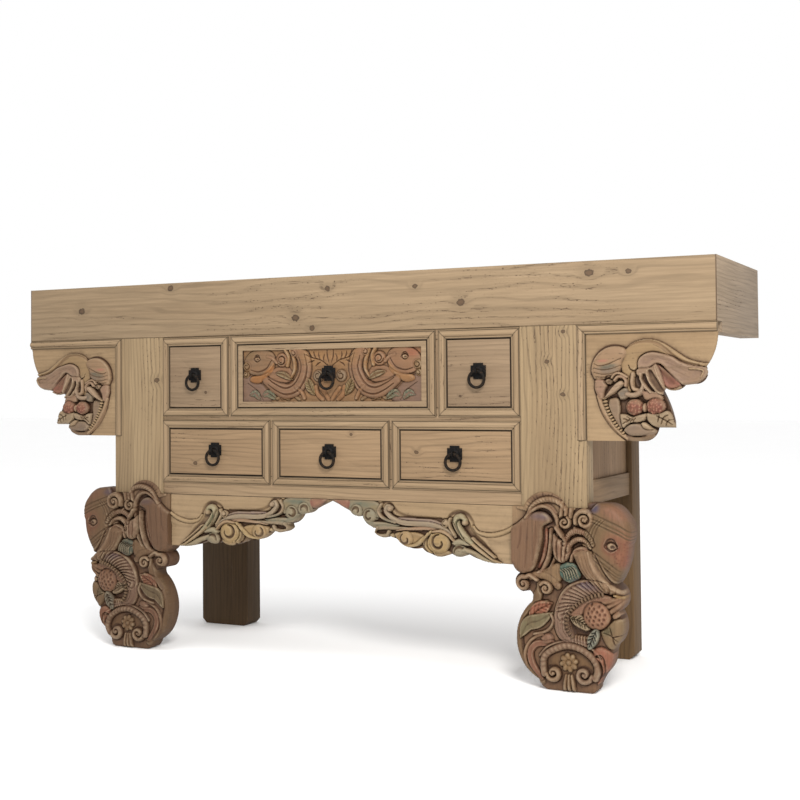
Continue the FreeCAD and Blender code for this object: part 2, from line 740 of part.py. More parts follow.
def wing_bracket():
    outline = wing_outline()
    board = front_slab(outline, FRAME_Y, WING_BACK)
    room = front_slab(outline, FRONT - 2 * WING_PROUD, WING_BACK)
    raised = []
    for u, v, share, reach in WING_DOMES + WING_FRUITS:
        crown = FRAME_Y - share * (WING_PROUD + FRAME_SET)
        raised.append(dome(wing_at(u, v), crown, FRAME_Y, reach * WING_DROP))
    for u, v, big, small, start, end in (WING_TRUNK, WING_EAR):
        small_r = small * WING_DROP
        raised.append(curl(wing_at(u, v), FRAME_Y + small_r / 3, big * WING_DROP, small_r, start, end))
    return joined(board, [shape.common(room) for shape in raised])


# Aprons: u runs from the middle of the console to the leg, v counts apron drops down from the rail. Radii are
# shares of the apron's drop.
APRON_ROUNDELS = ((0.61, 0.66, 0.197), (0.427, 0.64, 0.131), (0.165, 0.19, 0.082), (0.228, 0.215, 0.082),
                  (0.715, 0.81, 0.107), (0.71, 0.21, 0.131), (0.325, 0.12, 0.082))
APRON_STEM = ((0.93, 0.97), (0.74, 0.58), (0.55, 0.385), (0.41, 0.335), (0.345, 0.2))
APRON_STEM_R = (0.033, 0.057, 0.049, 0.049, 0.033)


def apron_at(u, v):
    return Vector(u * LEG_IN, 0, LEG_H - v * APRON_DROP)


def apron_outline():
    def arc(mid, end):
        return apron_at(*mid), apron_at(*end)

    return [
        Vector(APRON_TIP, 0, LEG_H),
        Vector(LEG_IN, 0, LEG_H),
        Vector(LEG_IN, 0, LEG_H - APRON_DROP),
        apron_at(0.925, 0.995),
        arc((0.84, 0.965), (0.762, 0.86)),
        arc((0.715, 0.92), (0.67, 0.86)),
        arc((0.615, 0.935), (0.56, 0.885)),
        arc((0.535, 0.86), (0.515, 0.80)),
        arc((0.44, 0.8), (0.377, 0.665)),
        apron_at(0.34, 0.62),
        arc((0.29, 0.64), (0.252, 0.56)),
        apron_at(0.26, 0.49),
        arc((0.212, 0.42), (0.185, 0.28)),
        arc((0.143, 0.275), (0.111, 0.2)),
        arc((0.06, 0.11), (APRON_TIP / LEG_IN, 0.03)),
    ]


def apron():
    outline = apron_outline()
    board = front_slab(outline, FRAME_Y, FRAME_Y + APRON_T)
    room = front_slab(outline, FRONT - 2 * APRON_PROUD, FRAME_Y + APRON_T)
    raised = [disc(apron_at(u, v), FRONT - APRON_PROUD, FRAME_Y, r * APRON_DROP) for u, v, r in APRON_ROUNDELS]
    stem = [apron_at(u, v) + Vector(0, FRAME_Y, 0) for u, v in APRON_STEM]
    raised.append(horn(stem, [r * APRON_DROP for r in APRON_STEM_R]))
    return joined(board, [shape.common(room) for shape in raised])


def make_nodes():
    nodes = {
        "front_fascia": fascia(),
        "back_fascia": back_fascia(),
        "top_planks": top_planks(),
        "top_battens": top_battens(),
        "underboard": underboard(),
        "upper_stiles": stiles(UPPER_Z, UPPER_TOP),
        "lower_stiles": stiles(LOWER_Z, LOWER_TOP),
        "upper_bead_frames": opening_beads(UPPER_Z),
        "lower_bead_frames": opening_beads(LOWER_Z),
        "upper_shelf": shelf(UPPER_Z),
        "lower_shelf": shelf(LOWER_Z),
        "drawer_guides": drawer_guides(),
        "back_rails": back_rails(),
        "back_panel": back_panel(),
    }
    for name in RAILS:
        nodes[name] = front_rail(name)
    for side, word in ((-1, "left"), (1, "right")):
        nodes["front_" + word + "_post"] = front_post(side)
        nodes["rear_" + word + "_post"] = rear_post(side)
        nodes[word + "_side_rail"] = side_rail(side)
        nodes[word + "_side_panel"] = side_panel(side)
    pairs = {"end_board": end_board(), "leg_carving": leg_carving(), "wing_bracket": wing_bracket(),
             "wing_beads": wing_beads(), "apron": apron()}
    for name, shape in pairs.items():
        nodes["right_" + name] = shape
        nodes["left_" + name] = mirrored(shape)
    for name, span in OPENINGS.items():
        nodes[name + "_front"] = carved_front(span) if name == "carved_drawer" else drawer_front(span)
        nodes[name + "_box"] = drawer_box(span)
        nodes[name + "_pull_plate"] = pull_plate(span)
        nodes[name + "_pull_ring"] = pull_ring(span)
    return nodes


os.makedirs("parts", exist_ok=True)
for node, solid in make_nodes().items():
    solid.exportStep("parts/" + node + ".step")
    print(node, len(solid.Solids), solid.isValid(), round(solid.Volume))
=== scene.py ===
import math

import bmesh
import bpy
import numpy as np
from mathutils import Matrix, Vector


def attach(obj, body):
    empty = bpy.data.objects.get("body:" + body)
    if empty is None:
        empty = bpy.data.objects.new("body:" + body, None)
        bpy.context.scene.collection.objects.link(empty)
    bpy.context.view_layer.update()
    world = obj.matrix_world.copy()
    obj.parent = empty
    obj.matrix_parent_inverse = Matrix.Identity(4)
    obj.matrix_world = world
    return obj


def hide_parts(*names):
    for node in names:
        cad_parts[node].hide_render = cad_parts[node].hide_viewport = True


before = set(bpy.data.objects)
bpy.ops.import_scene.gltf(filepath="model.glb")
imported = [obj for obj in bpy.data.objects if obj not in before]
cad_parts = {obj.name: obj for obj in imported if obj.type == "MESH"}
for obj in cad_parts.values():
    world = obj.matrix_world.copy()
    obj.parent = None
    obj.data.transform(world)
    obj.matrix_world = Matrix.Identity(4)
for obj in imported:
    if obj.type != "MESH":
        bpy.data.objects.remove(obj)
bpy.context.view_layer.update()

# Drawer console of old pine with carved elephant legs, wings and aprons. Sizes below are millimetres.
MM = 0.001
FRONT = -195.5
FRAME_Y = -192.5
LEG_BACK = -153.5
HOOD_LIFT = 0.1
WING_BACK = -154.5
APRON_BACK = -162.5
FASCIA_Z = 741.0
LEG_H = 371.0
POST_MID = 523.5
POST_W = 141.0
POST_OUT = 594.0
LEG_IN = 433.0
WING_Z = 507.0
WING_DROP = 234.0
OVERHANG = 266.0
APRON_DROP = 122.0
MOULD_W = 19.5
EYE_Y = -207.05
RING_R = 17.25
RING_WIRE = 3.2
RING_UNEVEN = 0.5
RING_STEPS = 48
SIDES = (("right", 1), ("left", -1))
DRAWERS = {
    "upper_left_drawer": (-433.5, -286.5, 573.5, 719.5),
    "carved_drawer": (-241.5, 241.5, 573.5, 719.5),
    "upper_right_drawer": (286.5, 433.5, 573.5, 719.5),
    "lower_left_drawer": (-433.5, -174.5, 418.0, 526.5),
    "lower_middle_drawer": (-129.5, 129.5, 418.0, 526.5),
    "lower_right_drawer": (174.5, 433.5, 418.0, 526.5),
}
ROW_SPLIT = 550.0
PULL_RISE = 4.0
# The picture drawer's front: its gap in the opening, its border, its thickness and the picture's own
PICTURE_GAP, BORDER, FRONT_T, PICTURE_T = 2.3, 12.0, 20.0, 12.0
# Where each carved piece's free edge is rounded down to, and over what width
LEG_EDGE, HOOD_EDGE, WING_EDGE, APRON_EDGE = (-6.0, 13.0), (0.4, 6.0), (-5.0, 7.0), (-5.0, 6.0)
# How much smaller a wing's back is than its face, as a share
WING_SLOPE = 0.05
TOOTH_T = 5.0
# Edges sharper than these angles stay crisp on each kind of piece
CARVED_CREASE, BEAD_CREASE, BOARD_CREASE = math.radians(62), math.radians(38), math.radians(40)
# A board's faces that meet at less than FLAT_ANGLE are one face, and edges over EASED_ANGLE are rubbed down
FLAT_ANGLE, EASED_ANGLE = math.radians(1), math.radians(35)

# Colours as they look in the studio's light; LIT is how much brighter it shows a colour than it is
LIT = 2.0
PINE = (0.41, 0.285, 0.17)
EARTH = (0.215, 0.12, 0.072)
CLAY = (0.29, 0.165, 0.11)
BRICK = (0.27, 0.09, 0.065)
OXBLOOD = (0.10, 0.038, 0.03)
TEAL = (0.05, 0.105, 0.115)
# VIOLET_SHADOW is a painted shadow colour for under the leg's hood
VIOLET_SHADOW = (0.20, 0.155, 0.185)
SLATE = (0.225, 0.18, 0.145)
OLIVE = (0.265, 0.215, 0.125)
MOSS = (0.16, 0.13, 0.06)
CREAM = (0.42, 0.33, 0.21)
BARE = (0.51, 0.41, 0.27)
GROOVE_SHADE_TAN = (0.29, 0.195, 0.125)
HAZEL = (0.25, 0.16, 0.085)
TWIG = (0.17, 0.085, 0.035)
SEPIA = (0.15, 0.07, 0.032)
WALNUT = (0.15, 0.085, 0.05)
UMBER = (0.085, 0.047, 0.027)
INK = (0.04, 0.02, 0.012)
# The sawn sides and back of a carved board: their darker wash, their hollow value, which adds stain and painted shade,
# and how much of the wash is left
SAWN, SAWN_HOLLOW, SAWN_COVER = (0.24, 0.17, 0.12), 1.5, 0.7


class Wire:
    """A material socket. Plain operators between wires and numbers add the Math nodes."""

    def __init__(self, finish, socket):
        self.finish = finish
        self.socket = socket

    def maths(self, operation, *values):
        return self.finish.add("ShaderNodeMath", {"operation": operation}, dict(enumerate(values)))

    def __add__(self, other):
        return self.maths("ADD", self, other)

    def __sub__(self, other):
        return self.maths("SUBTRACT", self, other)

    def __rsub__(self, other):
        return self.maths("SUBTRACT", other, self)

    def __mul__(self, other):
        return self.maths("MULTIPLY", self, other)

    __radd__ = __add__
    __rmul__ = __mul__

    def least(self, other):
        return self.maths("MINIMUM", self, other)

    def wave(self):
        return self.maths("SINE", self)

    def between(self, low, high):
        """0 below low, 1 above high, with a soft step between them."""
        return self.finish.add("ShaderNodeMapRange", {"interpolation_type": "SMOOTHSTEP"},
                               {"Value": self, "From Min": low, "From Max": high})


class Finish:
    """A material, with one method that adds any node to it."""

    def __init__(self, name):
        self.material = bpy.data.materials.new(name)
        self.material.use_nodes = True
        self.tree = self.material.node_tree
        self.shader = self.tree.nodes["Principled BSDF"]

    def feed(self, socket, value):
        if isinstance(value, Wire):
            self.tree.links.new(value.socket, socket)
        else:
            socket.default_value = value

    def add(self, kind, settings=None, sockets=None, out=0):
        node = self.tree.nodes.new(kind)
        for key, value in (settings or {}).items():
            setattr(node, key, value)
        for key, value in (sockets or {}).items():
            self.feed(node.inputs[key], value)
        return Wire(self, node.outputs[out])

    def place(self):
        """Object coordinates, in metres."""
        return self.add("ShaderNodeTexCoord", out="Object")

    def spread(self, vector, scale, shift=(0, 0, 0)):
        return self.add("ShaderNodeMapping", None, {"Vector": vector, "Scale": scale, "Location": shift})

    def noise(self, vector, scale, detail=2.0, roughness=0.5):
        sockets = {"Vector": vector, "Scale": scale, "Detail": detail, "Roughness": roughness}
        return self.add("ShaderNodeTexNoise", None, sockets)

    def cells(self, vector, scale):
        return self.add("ShaderNodeTexVoronoi", None, {"Vector": vector, "Scale": scale})

    def mix(self, share, first, second, blend="MIX"):
        return self.add("ShaderNodeMix", {"data_type": "RGBA", "blend_type": blend},
                        {0: share, 6: tint(first), 7: tint(second)}, out=2)

    def bump(self, height, strength, distance):
        return self.add("ShaderNodeBump", None, {"Height": height, "Strength": strength, "Distance": distance})

    def dress(self, **sockets):
        for key, value in sockets.items():
            self.feed(self.shader.inputs[key.replace("_", " ")], tint(value))
        return self


def tint(value):
    """Three numbers as an opaque colour; anything else as it is."""
    if isinstance(value, tuple) and len(value) == 3:
        return value + (1.0,)
    return value


def shade(colour, share):
    return tuple(min(c * share, 1.0) for c in colour)


def seen(colour):
    """The colour itself, from how it looks in the studio."""
    return shade(colour, 1.0 / LIT)


AXES = {"X": 0, "Y": 1, "Z": 2}
FINE_LINES = 420.0


def grain_map(f, grain, along, seed):
    """Object coordinates drawn out along the grain, moved to another part of the tree by a seed."""
    scale = [1.0, 1.0, 1.0]
    scale[AXES[grain]] = along
    return f.spread(f.place(), scale, (seed * 1.37, seed * 2.11, seed * 0.73))


def timber_layers(f, grain, seed, lines, knots=()):
    """The parts of a sawn board's figure, from 0 to 1: tone, streak, growth, pores, knot core and knot halo."""
    tone = f.noise(grain_map(f, grain, 0.12, seed), 11.0, 3.0, 0.55)
    streak = f.noise(grain_map(f, grain, 0.03, seed + 3), 190.0, 5.0, 0.68)
    warp = f.noise(grain_map(f, grain, 0.2, seed + 5), 7.0, 3.0, 0.55)
    over = f.add("ShaderNodeSeparateXYZ", None, {0: f.place()}, AXES["X" if grain == "Z" else "Z"])
    deep = f.add("ShaderNodeSeparateXYZ", None, {0: f.place()}, AXES["X" if grain == "Y" else "Y"])
    phase = over * lines + deep * (0.6 * lines) + warp * 46.0
    core = halo = 0.0
    if knots:
        flat = f.add("ShaderNodeVectorMath", {"operation": "MULTIPLY"}, {0: f.place(), 1: (0.8, 0.0, 1.0)})
        near = None
        for x, z, r in knots:
            far = f.add("ShaderNodeVectorMath", {"operation": "DISTANCE"},
                        {0: flat, 1: (0.8 * x * MM, 0.0, z * MM)}, out="Value") * (1.0 / (r * MM))
            near = near.least(far) if near else far
        ragged = near + (f.noise(f.place(), 160.0, 2.0) - 0.5) * 0.9
        core = 1.0 - ragged.between(0.4, 0.95)
        halo = 1.0 - near.between(0.8, 3.4)
        phase = phase + halo * 4.0
    patchy = f.noise(grain_map(f, grain, 0.25, seed + 13), 9.0, 2.0).between(0.32, 0.62)
    growth = phase.wave().between(0.25, 1.0) * (patchy * 0.7 + 0.3)
    clusters = f.noise(grain_map(f, grain, 0.22, seed + 7), 14.0, 3.0).between(0.46, 0.62)
    dashes = f.noise(grain_map(f, grain, 0.06, seed + 9), 620.0, 1.0).between(0.60, 0.67)
    specks = 1.0 - f.cells(grain_map(f, grain, 0.5, seed + 11), 210.0).between(0.14, 0.26)
    pores = (dashes * 0.8 + specks) * clusters * (growth * 0.8 + 0.2)
    return tone, streak, growth, pores, core, halo


def timber(name, grain, light, dark, seed, lines=FINE_LINES, figure=0.5, knots=(), grooves=False):
    """Old dry pine: warm streaks, dark growth lines, clusters of pores and worm specks, and any knots; with grooves,
    stain and painted shade from the hollow attribute.
    """
    f = Finish(name)
    light, dark = seen(light), seen(dark)
    tone, streak, growth, pores, core, halo = timber_layers(f, grain, seed, lines, knots)
    body = f.mix(tone.between(0.25, 0.75), light, dark)
    body = f.mix(streak.between(0.35, 0.8) * 0.5, body, shade(dark, 0.58))
    body = f.mix((1.0 - streak.between(0.2, 0.5)) * 0.3, body, shade(light, 1.25))
    body = f.mix(growth * (streak * 0.7 + 0.3) * figure, body, shade(dark, 0.5))
    if knots:
        body = f.mix(halo * 0.3, body, shade(dark, 0.6))
        body = f.mix(core * 0.85, body, (0.062, 0.034, 0.017))
        body = f.mix((core - core * core) * 3.2, body, (0.026, 0.014, 0.007))
    body = f.mix(pores.between(0.05, 0.55) * 0.85, body, (0.06, 0.034, 0.018))
    # grooves: darkening of a moulding's grooves and edges, stain with painted shade
    if grooves:
        hollow = f.add("ShaderNodeAttribute", {"attribute_name": "hollow"}, out="Fac")
        body = f.mix((hollow + (tone - 0.5) * 0.4).between(0.15, 0.85) * 0.86, body, shade(dark, 0.22))
    height = streak * 0.5 - growth * 0.4 - pores * 1.3
    f.dress(Base_Color=body, Roughness=streak * 0.16 + 0.66, Normal=f.bump(height, 0.55, 0.0008))
    f.shader.inputs["Specular IOR Level"].default_value = 0.28
    return f.material


def carved(name, grain, light, dark, seed, colour_left, glaze, deep=3.9):
    """Carved pine: old washes of colour under a brown glaze, stain and painted shade in the hollows, and pale worn
    ridges with painted highlight.
    """
    f = Finish(name)
    light, dark = seen(light), seen(dark)
    tone, streak, growth, pores, _, _ = timber_layers(f, grain, seed, FINE_LINES)
    wash = f.add("ShaderNodeAttribute", {"attribute_name": "wash"}, out="Color")
    cover = f.add("ShaderNodeAttribute", {"attribute_name": "cover"}, out="Fac")
    hollow = f.add("ShaderNodeAttribute", {"attribute_name": "hollow"}, out="Fac")
    rubbed = f.noise(f.place(), 60.0, 4.0, 0.65).between(0.28, 0.72)
    body = f.mix(tone.between(0.25, 0.75), light, dark)
    body = f.mix(cover * (rubbed * 0.3 + 0.7) * colour_left, body, wash)
    body = f.mix(cover.between(0.0, 0.5), body, f.mix(1.0, body, glaze, "MULTIPLY"))
    body = f.mix(streak.between(0.35, 0.8) * 0.4, body, shade(dark, 0.5))
    body = f.mix(growth * streak * 0.35, body, shade(dark, 0.45))
    # pale ridges: rubbed wear, with painted highlight on what stands out
    body = f.mix((0.0 - hollow).between(0.5, 3.6) * (rubbed * 0.42 + 0.08), body, seen((0.55, 0.41, 0.26)))
    # dark hollows: stain, and painted shade in the recesses
    body = f.mix((hollow + (rubbed - 0.5) * 0.9).between(-0.2, deep) * 0.92, body, (0.038, 0.017, 0.008))
    body = f.mix(pores.between(0.1, 0.7) * 0.5, body, (0.03, 0.016, 0.009))
    height = streak * 0.45 - growth * 0.25 - pores * 0.9 + rubbed * 0.3
    f.dress(Base_Color=body, Roughness=streak * 0.14 + 0.56, Normal=f.bump(height, 0.5, 0.0007))
    f.shader.inputs["Specular IOR Level"].default_value = 0.22
    return f.material


def iron(name, base, rust):
    """Forged iron, blackened, with brown rubbed patches and a pitted skin."""
    f = Finish(name)
    patch = f.noise(f.place(), 260.0, 4.0, 0.6)
    pits = f.noise(f.place(), 1300.0, 2.0)
    body = f.mix(patch.between(0.46, 0.66), base, rust)
    f.dress(Base_Color=body, Roughness=patch * 0.3 + 0.40, Normal=f.bump(patch * 0.8 + pits * 0.6, 0.6, 0.0006))
    f.shader.inputs["Specular IOR Level"].default_value = 0.08
    return f.material


def studio(name):
    """A plain pale floor."""
    f = Finish(name)
    cloud = f.noise(f.place(), 1.5, 2.0)
    f.dress(Base_Color=f.mix(cloud, (0.965, 0.965, 0.965), (0.985, 0.985, 0.985)), Roughness=cloud * 0.1 + 0.75)
    return f.material


PALE = (0.47, 0.335, 0.20)
TAN = (0.385, 0.265, 0.152)
BEAD_TONES = (0.50, 0.35, 0.205), (0.40, 0.27, 0.15)
INSIDE_TONES = (0.30, 0.20, 0.12), (0.22, 0.14, 0.082)
# Knots as x, z and radius on the front
FASCIA_KNOTS = ((-429, 858, 8), (-2, 839, 7), (-85, 776, 9), (-43, 752, 7), (214, 835, 6), (321, 796, 9), (604, 846, 9),
                (685, 845, 6), (-697, 812, 9))
POST_KNOTS = ((547, 728, 5), (512, 668, 5), (545, 600, 5), (-470, 640, 7))
FINISH = {
    "fascia": timber("pine_fascia", "X", PALE, TAN, 1.0, 380.0, 0.5, FASCIA_KNOTS),
    "end": timber("pine_end_board", "Y", (0.52, 0.39, 0.265), (0.40, 0.295, 0.195), 2.0, 760.0, 0.45),
    "top": timber("pine_top", "X", (0.46, 0.34, 0.225), TAN, 3.0, 380.0, 0.5),
    "post": timber("pine_post", "Z", (0.49, 0.35, 0.195), (0.385, 0.262, 0.142), 4.0, 640.0, 0.85, POST_KNOTS),
    "rail": timber("pine_rail", "X", (0.49, 0.34, 0.195), (0.39, 0.255, 0.145), 5.0, 600.0, 0.5),
    "stile": timber("pine_stile", "Z", (0.48, 0.33, 0.19), (0.385, 0.25, 0.14), 6.0, 600.0, 0.5),
    "bead_x": timber("pine_bead_level", "X", *BEAD_TONES, 7.0, 700.0, 0.5, (), True),
    "bead_z": timber("pine_bead_upright", "Z", *BEAD_TONES, 8.0, 700.0, 0.5, (), True),
    "small": timber("pine_small_drawer", "X", (0.40, 0.275, 0.165), (0.33, 0.22, 0.13), 9.0, 520.0, 0.35,
                    ((-330, 610, 4), (318, 598, 3))),
    "border": timber("pine_picture_border", "X", (0.45, 0.315, 0.185), (0.38, 0.255, 0.145), 20.0, 560.0, 0.35),
    "long": timber("pine_long_drawer", "X", (0.475, 0.315, 0.175), (0.39, 0.25, 0.135), 10.0, 560.0, 0.7,
                   ((214, 478, 5), (-360, 445, 5), (55, 515, 4))),
    # rear posts darkened as painted shade under the top, the left one darker than the right
    "rear_left": timber("old_pine_rear_left_painted_shade", "Z", (0.138, 0.078, 0.03), (0.096, 0.052, 0.019), 11.0, 500.0, 0.6),
    "rear_right": timber("old_pine_rear_right_painted_shade", "Z", (0.25, 0.145, 0.06), (0.18, 0.10, 0.04), 25.0, 500.0, 0.6),
    "side": timber("old_pine_side", "Z", (0.43, 0.265, 0.14), (0.32, 0.19, 0.098), 23.0, 640.0, 0.6),
    "side_rail": timber("old_pine_side_rail", "Y", (0.37, 0.235, 0.125), (0.275, 0.168, 0.086), 24.0),
    # very dark pine for faces inside gaps and openings: painted shade
    "edge": timber("old_pine_gap_painted_shade", "X", (0.09, 0.053, 0.03), (0.06, 0.034, 0.019), 21.0),
    "arris": timber("pine_dark_arris", "Z", (0.25, 0.165, 0.10), (0.18, 0.115, 0.068), 22.0),
    "inside": timber("old_pine_inside", "X", *INSIDE_TONES, 12.0),
    "inside_y": timber("old_pine_runner", "Y", *INSIDE_TONES, 13.0),
    "inside_z": timber("old_pine_back", "Z", (0.28, 0.185, 0.115), (0.20, 0.13, 0.078), 14.0),
    "leg": carved("carved_leg", "Z", (0.26, 0.16, 0.09), (0.195, 0.115, 0.062), 15.0, 0.95, (0.83, 0.67, 0.55)),
    # the left leg's finish is a darker copy of the right leg's: painted shade in its darker glaze, with less of its
    # wash left
    "left_leg": carved("carved_left_leg_painted_shade", "Z", (0.26, 0.165, 0.092), (0.19, 0.115, 0.062), 16.0, 0.62,
                       (0.68, 0.54, 0.45)),
    "wing": carved("carved_wing", "X", (0.49, 0.335, 0.185), (0.41, 0.27, 0.145), 17.0, 0.95, (0.92, 0.84, 0.80)),
    "apron": carved("carved_apron", "X", (0.53, 0.37, 0.215), (0.44, 0.30, 0.165), 18.0, 0.95, (1.0, 0.98, 0.87)),
    "picture": carved("carved_picture", "X", (0.34, 0.215, 0.12), (0.26, 0.158, 0.086), 19.0, 0.95, (0.90, 0.68, 0.48),
                      3.7),
    "iron": iron("black_iron", (0.004, 0.004, 0.004), (0.012, 0.008, 0.006)),
    "ring": iron("worn_iron_ring", (0.006, 0.005, 0.004), (0.024, 0.014, 0.008)),
    "floor": studio("pale_floor"),
}


# Paths and outlines
def smooth(points, per=8):
    """A curve through the points, as short straight steps."""
    pts = np.array(points, float)
    ends = np.vstack([2 * pts[0] - pts[1], pts, 2 * pts[-1] - pts[-2]])
    steps = []
    for a, b, c, d in zip(ends, ends[1:], ends[2:], ends[3:]):
        for t in np.linspace(0, 1, per, endpoint=False):
            steps.append(0.5 * (2 * b + (c - a) * t + (2 * a - 5 * b + 4 * c - d) * t ** 2
                                + (3 * b - a - 3 * c + d) * t ** 3))
    return np.vstack([steps, pts[-1:]])


def smooth_loop(points, per=6):
    """A closed curve through the points."""
    pts = [tuple(p) for p in points]
    ring = smooth(pts[-2:] + pts + pts[:2], per)
    return ring[2 * per:-2 * per]


def arc(a, b, c, steps=14):
    """Points of the circle from a through b to c, without a."""
    (ax, az), (bx, bz), (cx, cz) = a, b, c
    det = 2 * (ax * (bz - cz) + bx * (cz - az) + cx * (az - bz))
    if abs(det) < 1e-6:
        return [b, c]
    sa, sb, sc = ax ** 2 + az ** 2, bx ** 2 + bz ** 2, cx ** 2 + cz ** 2
    ox = (sa * (bz - cz) + sb * (cz - az) + sc * (az - bz)) / det
    oz = (sa * (cx - bx) + sb * (ax - cx) + sc * (bx - ax)) / det
    start, mid, end = (math.atan2(z - oz, x - ox) for x, z in (a, b, c))
    turn = (end - start) % math.tau
    if (mid - start) % math.tau > turn:
        turn -= math.tau
    r = math.hypot(ax - ox, az - oz)
    angles = [start + turn * (i + 1) / steps for i in range(steps)]
    return [(ox + r * math.cos(t), oz + r * math.sin(t)) for t in angles]


def trace(steps):
    """An outline of points and arcs, where an arc is a pair (middle, end)."""
    line = [steps[0]]
    for step in steps[1:]:
        if isinstance(step[0], tuple):
            line += arc(line[-1], step[0], step[1])
        else:
            line.append(step)
    return line


# Places on the front from shares of a piece's width and height
def leg_at(u, v):
    return POST_MID + u * POST_W, v * LEG_H


def wing_at(u, v):
    return POST_OUT + u * OVERHANG, WING_Z + v * WING_DROP


def apron_at(u, v):
    return u * LEG_IN, LEG_H - v * APRON_DROP


def shaped(at, steps):
    """Shares of a piece turned into places on it, arcs kept as pairs."""
    return [(at(*s[0]), at(*s[1])) if isinstance(s[0], tuple) else at(*s) for s in steps]


LEG_FREE = trace([(LEG_IN, LEG_H - APRON_DROP)] + shaped(leg_at, [
    ((-0.605, 0.648), (-0.543, 0.631)), ((-0.62, 0.577), (-0.50, 0.528)), (-0.394, 0.536),
    ((-0.344, 0.501), (-0.40, 0.464)), ((-0.606, 0.283), (-0.465, 0.113)), ((-0.365, 0.078), (-0.266, 0.054)),
    ((-0.21, 0.016), (-0.11, 0.0)), (0.514, 0.0), ((0.58, 0.011), (0.606, 0.04)), ((0.649, 0.073), (0.727, 0.116)),
    ((0.826, 0.178), (0.848, 0.237)), (0.876, 0.264), ((1.004, 0.377), (0.933, 0.453)),
    ((1.032, 0.531), (0.918, 0.596)), ((1.074, 0.728), (1.103, 0.809)), ((1.145, 0.889), (1.046, 0.97)),
    ((0.911, 1.016), (0.741, 1.027)), (0.5, 1.027)]))
LEG_OUTLINE = LEG_FREE + [(POST_OUT, LEG_H), (LEG_IN, LEG_H)]
WING_FREE = trace(shaped(wing_at, [
    (1, 0.889), ((0.974, 0.748), (0.914, 0.624)), ((0.915, 0.535), (0.831, 0.479)), (0.759, 0.47),
    ((0.692, 0.427), (0.613, 0.444)), (0.59, 0.406), ((0.639, 0.29), (0.684, 0.115)), (0.556, 0.115),
    ((0.53, 0.045), (0.444, 0))]))
WING_OUTLINE = [wing_at(0, 0), wing_at(0, 1), wing_at(1, 1)] + WING_FREE
APRON_FREE = trace([(LEG_IN, LEG_H - APRON_DROP)] + shaped(apron_at, [
    (0.925, 0.995), ((0.84, 0.965), (0.762, 0.86)), ((0.715, 0.92), (0.67, 0.86)), ((0.615, 0.935), (0.56, 0.885)),
    ((0.535, 0.86), (0.515, 0.80)), ((0.44, 0.8), (0.377, 0.665)), (0.34, 0.62), ((0.29, 0.64), (0.252, 0.56)),
    (0.26, 0.49), ((0.212, 0.42), (0.185, 0.28)), ((0.143, 0.275), (0.111, 0.2)), ((0.06, 0.11), (0.0092, 0.03))]))
APRON_OUTLINE = APRON_FREE + [(4.0, LEG_H), (LEG_IN, LEG_H)]


def measure(path, X, Z, closed=False):
    """Distance to a path, share of the way along it, and side of it, at each grid point."""
    pts = np.array(path, float)
    if closed:
        pts = np.vstack([pts, pts[:1]])
    runs = np.hypot(*(pts[1:] - pts[:-1]).T)
    total = max(runs.sum(), 1e-6)
    best = np.full(X.shape, 1e9)
    share = np.zeros(X.shape)
    side = np.zeros(X.shape)
    start = 0.0
    for (ax, az), (bx, bz), run in zip(pts, pts[1:], runs):
        if run < 1e-6:
            continue
        ux, uz = bx - ax, bz - az
        t = np.clip(((X - ax) * ux + (Z - az) * uz) / run ** 2, 0, 1)
        dx, dz = X - ax - t * ux, Z - az - t * uz
        d = np.hypot(dx, dz)
        closer = d < best
        best = np.where(closer, d, best)
        share = np.where(closer, (start + t * run) / total, share)
        side = np.where(closer, np.sign(ux * dz - uz * dx), side)
        start += run
    return best, share, side, total


def within(loop, X, Z):
    """True at the grid points inside a closed outline."""
    inside = np.zeros(X.shape, bool)
    pts = np.array(loop, float)
    for (ax, az), (bx, bz) in zip(pts, np.roll(pts, -1, axis=0)):
        if az == bz:
            continue
        crosses = ((az > Z) != (bz > Z)) & (X < (bx - ax) * (Z - az) / (bz - az) + ax)
        inside ^= crosses
    return inside


def blurred(field, reach):
    """A soft copy of a height map; reach is in grid steps."""
    span = int(3 * reach)
    bell = np.exp(-0.5 * (np.arange(-span, span + 1) / reach) ** 2)
    bell /= bell.sum()
    padded = np.pad(field, span, mode="edge")
    rows = sum(w * padded[:, k:k + field.shape[1]] for k, w in enumerate(bell))
    return sum(w * rows[k:k + field.shape[0], :] for k, w in enumerate(bell))


